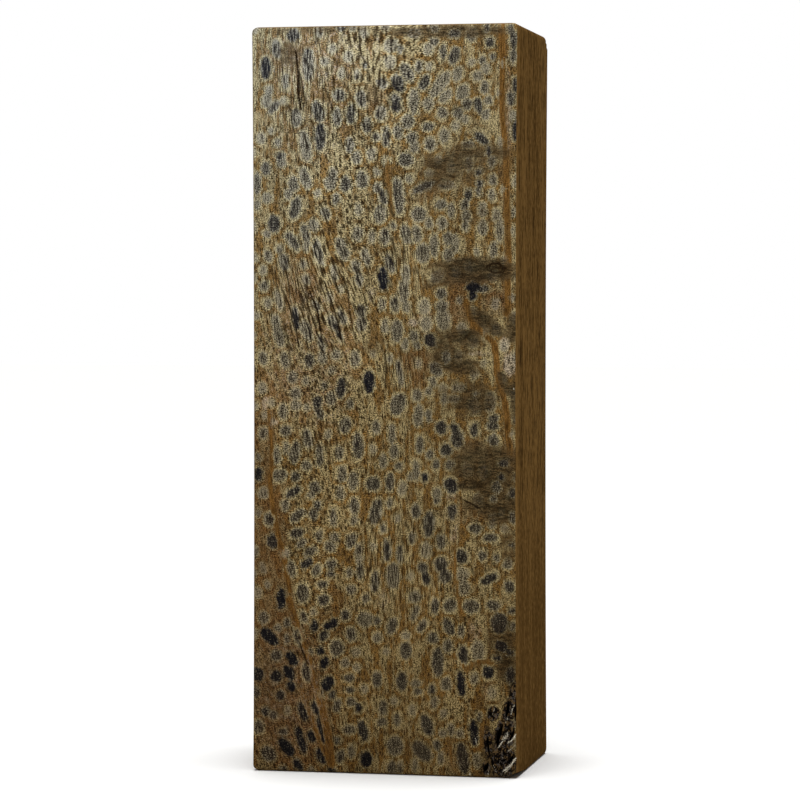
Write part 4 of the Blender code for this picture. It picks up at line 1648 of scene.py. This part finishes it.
    def build(
        self, figures: tuple[Figure, Figure], pocket: BarkPocket, finish: SpaltedWood
    ) -> bpy.types.Object:
        """Makes the block.

        Args:
            figures: The figures of the front and of the back.
            pocket: The front's bark pocket.
            finish: The block's finish.

        Returns:
            The finished object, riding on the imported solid's body.
        """
        bm = self.skin()
        right, front = self.width / 2, -self.thickness / 2
        foot, top = self.pocket_tall
        low = right - self.pocket_wide, front - 1, foot
        self.refine(bm, low, (right + 0.1, front + self.pocket_deep, top))
        nick, room = front + self.nick_from_front, self.nick_room
        low = right - 2 * self.nick_length - self.nick_length, nick - room, self.length - room
        self.refine(bm, low, (right + self.nick_length, nick + room, self.length + 1))
        mesh = bpy.data.meshes.new("spalted_block")
        bm.to_mesh(mesh)
        bm.free()
        flat = np.zeros(len(mesh.vertices) * 3)
        mesh.vertices.foreach_get("co", flat)
        points = flat.reshape(-1, 3) / MM
        self.carry_figure(mesh, points, figures, pocket)
        points = self.cut_nick(self.press_pocket(points, pocket))
        mesh.vertices.foreach_set("co", (self.break_corners(points) * MM).ravel())
        mesh.update()
        mesh.shade_smooth()
        mesh.materials.append(finish.material())
        block = stand_in_scene("spalted_block", mesh)
        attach(block, "root")
        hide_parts("wood_block")
        return block

    def carry_figure(
        self, mesh: bpy.types.Mesh, points: np.ndarray, figures: tuple[Figure, Figure], pocket: BarkPocket
    ) -> None:
        """Writes the two figures and the pocket into the mesh, as named values on its points.

        Args:
            mesh: The skin's mesh.
            points: Its points, in mm.
            figures: The figures of the front and of the back.
            pocket: The front's bark pocket.
        """
        ahead = points[:, 1] < 0
        front, back = figures
        across, up = points[ahead, 0] + self.width / 2, points[ahead, 2]
        on_front = front.fields(across, up)
        on_back = back.fields(self.width / 2 - points[~ahead, 0], points[~ahead, 2])
        in_pocket = pocket.fields(across, up)
        on_front |= {name: in_pocket[name] for name in ("bark", "crevice", "ridge")}
        for name, values in on_front.items():
            carried = np.zeros(len(points))
            carried[ahead] = values
            carried[~ahead] = on_back.get(name, 0.0)
            carry(mesh, name, carried)
        broken = np.linalg.norm(self.break_corners(points) - points, axis=1) > self.barely
        carry(mesh, "side", np.where(broken, Side.PLAIN.value, self.kinds(points)))


def carry(mesh: bpy.types.Mesh, name: str, values: np.ndarray) -> None:
    """Writes one value for each of a mesh's points into it, under this name."""
    mesh.attributes.new(name, "FLOAT", "POINT").data.foreach_set("value", np.asarray(values, np.float32))


def stand_in_scene(name: str, data: bpy.types.ID) -> bpy.types.Object:
    """Puts a mesh, a light or a camera into the scene.

    Args:
        name: Its object's name.
        data: What the object holds.

    Returns:
        The object, at the origin.
    """
    made = bpy.data.objects.new(name, data)
    bpy.context.scene.collection.objects.link(made)
    return made


@dataclass
class TornFibres:
    """Short pale fibres that stick out along the bark pocket's torn edges, and bright flecks in the figure.
    Their colour is a painted glint on the flecks and partly a painted glint on the fibres.

    Lengths are in mm.

    Attributes:
        width: The front's width.
        thickness: The block's thickness.
        pocket: The bark pocket they belong to.
        flecks: Where single bright flecks, painted glints, lie: distance from the front's left edge and
            height.
        length: Half the length of a fibre.
        slimness: Half its width.
        spacing: The distance from one fibre to the next.
        turn: How far fibres turn out of their row, in radians.
        sizes: The least and the greatest size of a fibre, as a share of the full one.
        fleck_size: A fleck's size as a share of a fibre's.
        sunk: How deep a fibre's middle lies below the surface.
        seed: The seed for their sizes and turns.
        dull: A fibre's darker colour.
        pale: Its lighter colour, partly a painted glint.
        roughness: Its roughness.
    """

    width: float
    thickness: float
    pocket: BarkPocket
    flecks: list[tuple[float, float]]
    length: float = 0.34
    slimness: float = 0.085
    spacing: float = 0.32
    turn: float = 0.35
    sizes: tuple[float, float] = (0.5, 1.15)
    fleck_size: float = 0.75
    sunk: float = 0.02
    seed: int = 5
    dull: tuple = linear(150, 138, 112)
    pale: tuple = linear(226, 218, 198)
    roughness: float = 0.5

    INPUTS = ("Length", "Slimness", "Spacing", "Turn", "Seed")
    # How long a single fleck's row is, in mm: too short for a second fibre.
    FLECK_ROW = 0.02

    def rows(self) -> bpy.types.Object:
        """Draws the rows that the fibres follow.

        Returns:
            A helper object of bare edges, whose points carry the fibres' size.
        """
        paths = [(streak.points, streak.strength) for streak in self.pocket.ridges]
        paths += [(((x, z), (x, z + self.FLECK_ROW)), self.fleck_size) for x, z in self.flecks]
        points, edges, sizes = [], [], []
        for path, size in paths:
            edges += [(len(points) + i, len(points) + i + 1) for i in range(len(path) - 1)]
            across, up = np.array(path).T
            depth = self.pocket.depth(across, up) + self.sunk
            points += list(zip((across - self.width / 2) * MM, (depth - self.thickness / 2) * MM, up * MM))
            sizes += [size] * len(path)
        mesh = bpy.data.meshes.new("fibre_rows")
        mesh.from_pydata(points, edges, [])
        carry(mesh, "size", sizes)
        return stand_in_scene("fibre_rows", mesh)

    def tree(self) -> bpy.types.GeometryNodeTree:
        """Builds the node group that sets fibres along the rows.

        Returns:
            The node group.
        """
        tree = bpy.data.node_groups.new("torn_fibres", "GeometryNodeTree")
        ports = tree.interface
        ports.new_socket("Geometry", in_out="INPUT", socket_type="NodeSocketGeometry")
        for name in self.INPUTS:
            kind = "NodeSocketInt" if name == "Seed" else "NodeSocketFloat"
            ports.new_socket(name, in_out="INPUT", socket_type=kind)
        ports.new_socket("Material", in_out="INPUT", socket_type="NodeSocketMaterial")
        ports.new_socket("Geometry", in_out="OUTPUT", socket_type="NodeSocketGeometry")

        node = partial(add_node, tree)
        given = node("NodeGroupInput", {}).outputs
        rows = node("GeometryNodeMeshToCurve", {"Mesh": given["Geometry"]})
        along = {"Curve": rows.outputs[0], "Length": given["Spacing"]}
        spread = node("GeometryNodeCurveToPoints", along, mode="LENGTH")
        ball = node("GeometryNodeMeshUVSphere", {"Segments": 6, "Rings": 4, "Radius": 1.0})
        shape = node("ShaderNodeCombineXYZ", {0: given["Slimness"], 1: given["Slimness"], 2: given["Length"]})
        fibre = node("GeometryNodeTransform", {"Geometry": ball.outputs[0], "Scale": shape.outputs[0]})
        back = node("ShaderNodeMath", {0: given["Turn"], 1: -1.0}, operation="MULTIPLY")
        swing = node("FunctionNodeRandomValue", {"Seed": given["Seed"]}, data_type="FLOAT_VECTOR")
        tree.links.new(back.outputs[0], swing.inputs["Min"])
        tree.links.new(given["Turn"], swing.inputs["Max"])
        pair = {0: spread.outputs["Rotation"], 1: swing.outputs["Value"]}
        turned = node("FunctionNodeRotateRotation", pair)
        least, most = self.sizes
        share = node("FunctionNodeRandomValue", {2: least, 3: most, "Seed": given["Seed"]}, data_type="FLOAT")
        size = node("GeometryNodeInputNamedAttribute", {"Name": "size"}, data_type="FLOAT")
        scale = node("ShaderNodeMath", {0: share.outputs[1], 1: size.outputs[0]}, operation="MULTIPLY")
        placed = node("GeometryNodeInstanceOnPoints", {
            "Points": spread.outputs["Points"], "Instance": fibre.outputs[0],
            "Rotation": turned.outputs[0], "Scale": scale.outputs[0],
        })
        real = node("GeometryNodeRealizeInstances", {0: placed.outputs[0]})
        done = node("GeometryNodeSetMaterial", {"Geometry": real.outputs[0], "Material": given["Material"]})
        node("NodeGroupOutput", {"Geometry": done.outputs[0]})
        return tree

    def material(self) -> bpy.types.Material:
        """Makes pale dry fibre, its palest cream partly a painted glint.

        Returns:
            The material, cream to grey along a fibre.
        """
        graph = Graph("torn_fibre")
        mottle = graph.noise(graph.flat(graph.place(), "X", "Z"), 3.0, 2.2)
        return graph.finish(graph.mix(graph.step(mottle, 0.35, 0.65), self.dull, self.pale), self.roughness)

    def build(self) -> bpy.types.Object:
        """Makes the fibres.

        Returns:
            The finished object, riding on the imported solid's body.
        """
        rows = self.rows()
        tree = self.tree()
        modifier = rows.modifiers.new("torn fibres", "NODES")
        modifier.node_group = tree
        values = {
            "Length": self.length * MM, "Slimness": self.slimness * MM, "Spacing": self.spacing * MM,
            "Turn": self.turn, "Seed": self.seed, "Material": self.material(),
        }
        for item in tree.interface.items_tree:
            if item.in_out == "INPUT" and item.name in values:
                modifier[item.identifier] = values[item.name]
        graph = bpy.context.evaluated_depsgraph_get()
        mesh = bpy.data.meshes.new_from_object(rows.evaluated_get(graph), depsgraph=graph)
        bpy.data.objects.remove(rows)
        mesh.name = "torn_fibres"
        fibres = stand_in_scene("torn_fibres", mesh)
        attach(fibres, "root")
        return fibres


@dataclass
class Studio:
    """The floor, the light and the camera.

    Lengths are in metres, angles in degrees, the lens in mm and the softbox's power in watts. The
    azimuth is how far right of the front the camera stands, and aim how far it looks beside the middle.
    """

    azimuth: float = 11.86
    elevation: float = 1.93
    distance: float = 0.568
    lens: float = 143.5
    aim: tuple[float, float] = (-0.00046, -0.00032)
    nearest: float = 0.01
    floor_size: float = 6.0
    floor_colour: tuple = linear(250, 250, 249)
    floor_roughness: float = 0.9
    sky_strength: float = 0.12
    backdrop: float = 1.0
    ceiling_strength: float = 3.1
    ceiling_angle: float = 30.0
    ceiling_towards: tuple = (0.02, 0.05, 1.0)
    softbox_power: float = 0.2
    softbox_size: float = 0.12
    softbox_place: tuple = (-0.01, -0.13, 0.22)
    softbox_aim: tuple = (0, 0, 0.09)

    def build(self) -> None:
        """Makes the studio."""
        self.floor()
        self.sky()
        self.ceiling()
        self.softbox()
        self.camera()

    def floor(self) -> None:
        """Lays a plain pale floor."""
        bm = bmesh.new()
        bmesh.ops.create_grid(bm, x_segments=1, y_segments=1, size=self.floor_size / 2)
        mesh = bpy.data.meshes.new("floor")
        bm.to_mesh(mesh)
        bm.free()
        mesh.materials.append(Graph("pale_floor").finish(self.floor_colour, self.floor_roughness))
        stand_in_scene("floor", mesh)

    def sky(self) -> None:
        """Makes even soft light from all round, in front of a white backdrop."""
        world = bpy.data.worlds.new("studio")
        bpy.context.scene.world = world
        world.use_nodes = True
        tree = world.node_tree
        seen = add_node(tree, "ShaderNodeLightPath", {}).outputs["Is Camera Ray"]
        limits = {"Value": seen, "To Min": self.sky_strength, "To Max": self.backdrop}
        strength = add_node(tree, "ShaderNodeMapRange", limits).outputs[0]
        background = tree.nodes["Background"]
        background.inputs["Color"].default_value = (1, 1, 1, 1)
        tree.links.new(strength, background.inputs["Strength"])

    def ceiling(self) -> None:
        """Hangs a very wide soft light above, like a lit ceiling."""
        light = bpy.data.lights.new("ceiling", "SUN")
        light.energy = self.ceiling_strength
        light.angle = math.radians(self.ceiling_angle)
        lamp = stand_in_scene("ceiling", light)
        lamp.rotation_euler = Vector(self.ceiling_towards).to_track_quat("Z", "Y").to_euler()

    def softbox(self) -> None:
        """Sets a square softbox up in front."""
        light = bpy.data.lights.new("softbox", "AREA")
        light.size = self.softbox_size
        light.energy = self.softbox_power
        lamp = stand_in_scene("softbox", light)
        lamp.location = self.softbox_place
        lamp.rotation_euler = (Vector(self.softbox_aim) - lamp.location).to_track_quat("-Z", "Y").to_euler()

    def camera(self) -> None:
        """Sets the camera up at the photograph's viewing angle."""
        turn, rise = math.radians(self.azimuth), math.radians(self.elevation)
        back = Vector((math.sin(turn) * math.cos(rise), -math.cos(turn) * math.cos(rise), math.sin(rise)))
        facing = (-back).to_track_quat("-Z", "Y")
        low, high = CAD_BOX
        aim = (low + high) / 2 + facing @ Vector((*self.aim, 0))
        data = bpy.data.cameras.new("camera")
        data.lens = self.lens
        data.clip_start = self.nearest
        camera = stand_in_scene("camera", data)
        camera.location = aim + back * self.distance
        camera.rotation_euler = facing.to_euler()
        bpy.context.scene.camera = camera


def read_figures(face: PhotoFace) -> tuple[Figure, Figure]:
    """Makes the figures of the two broad faces from what was read off the photograph.

    Args:
        face: The front as the photograph shows it.

    Returns:
        The front's figure and the back's, both with their gaps filled.
    """
    front = Figure(
        face.width, face.length, seed=FRONT_SEED, bends=BENDS,
        spots=face.ovals(Spot, TOP_SPOTS + UPPER_SPOTS + MIDDLE_SPOTS + LOWER_SPOTS + FOOT_SPOTS),
        stains={name: face.ovals(Patch, readings) for name, readings in STAINS.items()},
        veins=face.streaks(VEINS), lines=face.streaks(VESSEL_LINES),
    )
    back = front.turned(BACK_SEED)
    front.fill()
    back.fill()
    return front, back


def read_pocket(face: PhotoFace) -> BarkPocket:
    """Makes the bark pocket from what was read off the photograph.

    Args:
        face: The front as the photograph shows it.

    Returns:
        The pocket.
    """
    cracks = [
        Seam(tuple(face.place(*point) for point in points), 2 * half_width / face.pixels, depth)
        for half_width, depth, *points in CRACKS
    ]
    return BarkPocket(face.ovals(Patch, BARK), [*MAIN_SEAMS, *cracks], face.streaks(RIDGES))


def main() -> None:
    """Builds the block and its studio."""
    logging.basicConfig(level=logging.INFO, format="%(name)s: %(message)s")
    block = WoodBlock()
    face = PhotoFace(block.width, block.length)
    front, back = read_figures(face)
    pocket = read_pocket(face)
    made = block.build((front, back), pocket, SpaltedWood())
    counts = len(made.data.polygons), len(front.spots), len(back.spots)
    LOG.info("%s: %d faces, %d and %d spots", made.name, *counts)
    flecks = [face.place(*fleck) for fleck in GLINT_FLECKS]
    fibres = TornFibres(block.width, block.thickness, pocket, flecks).build()
    LOG.info("%s: %d faces", fibres.name, len(fibres.data.polygons))
    Studio().build()
    bpy.context.scene.view_settings.view_transform = "Standard"


if __name__ == "__main__":
    main()
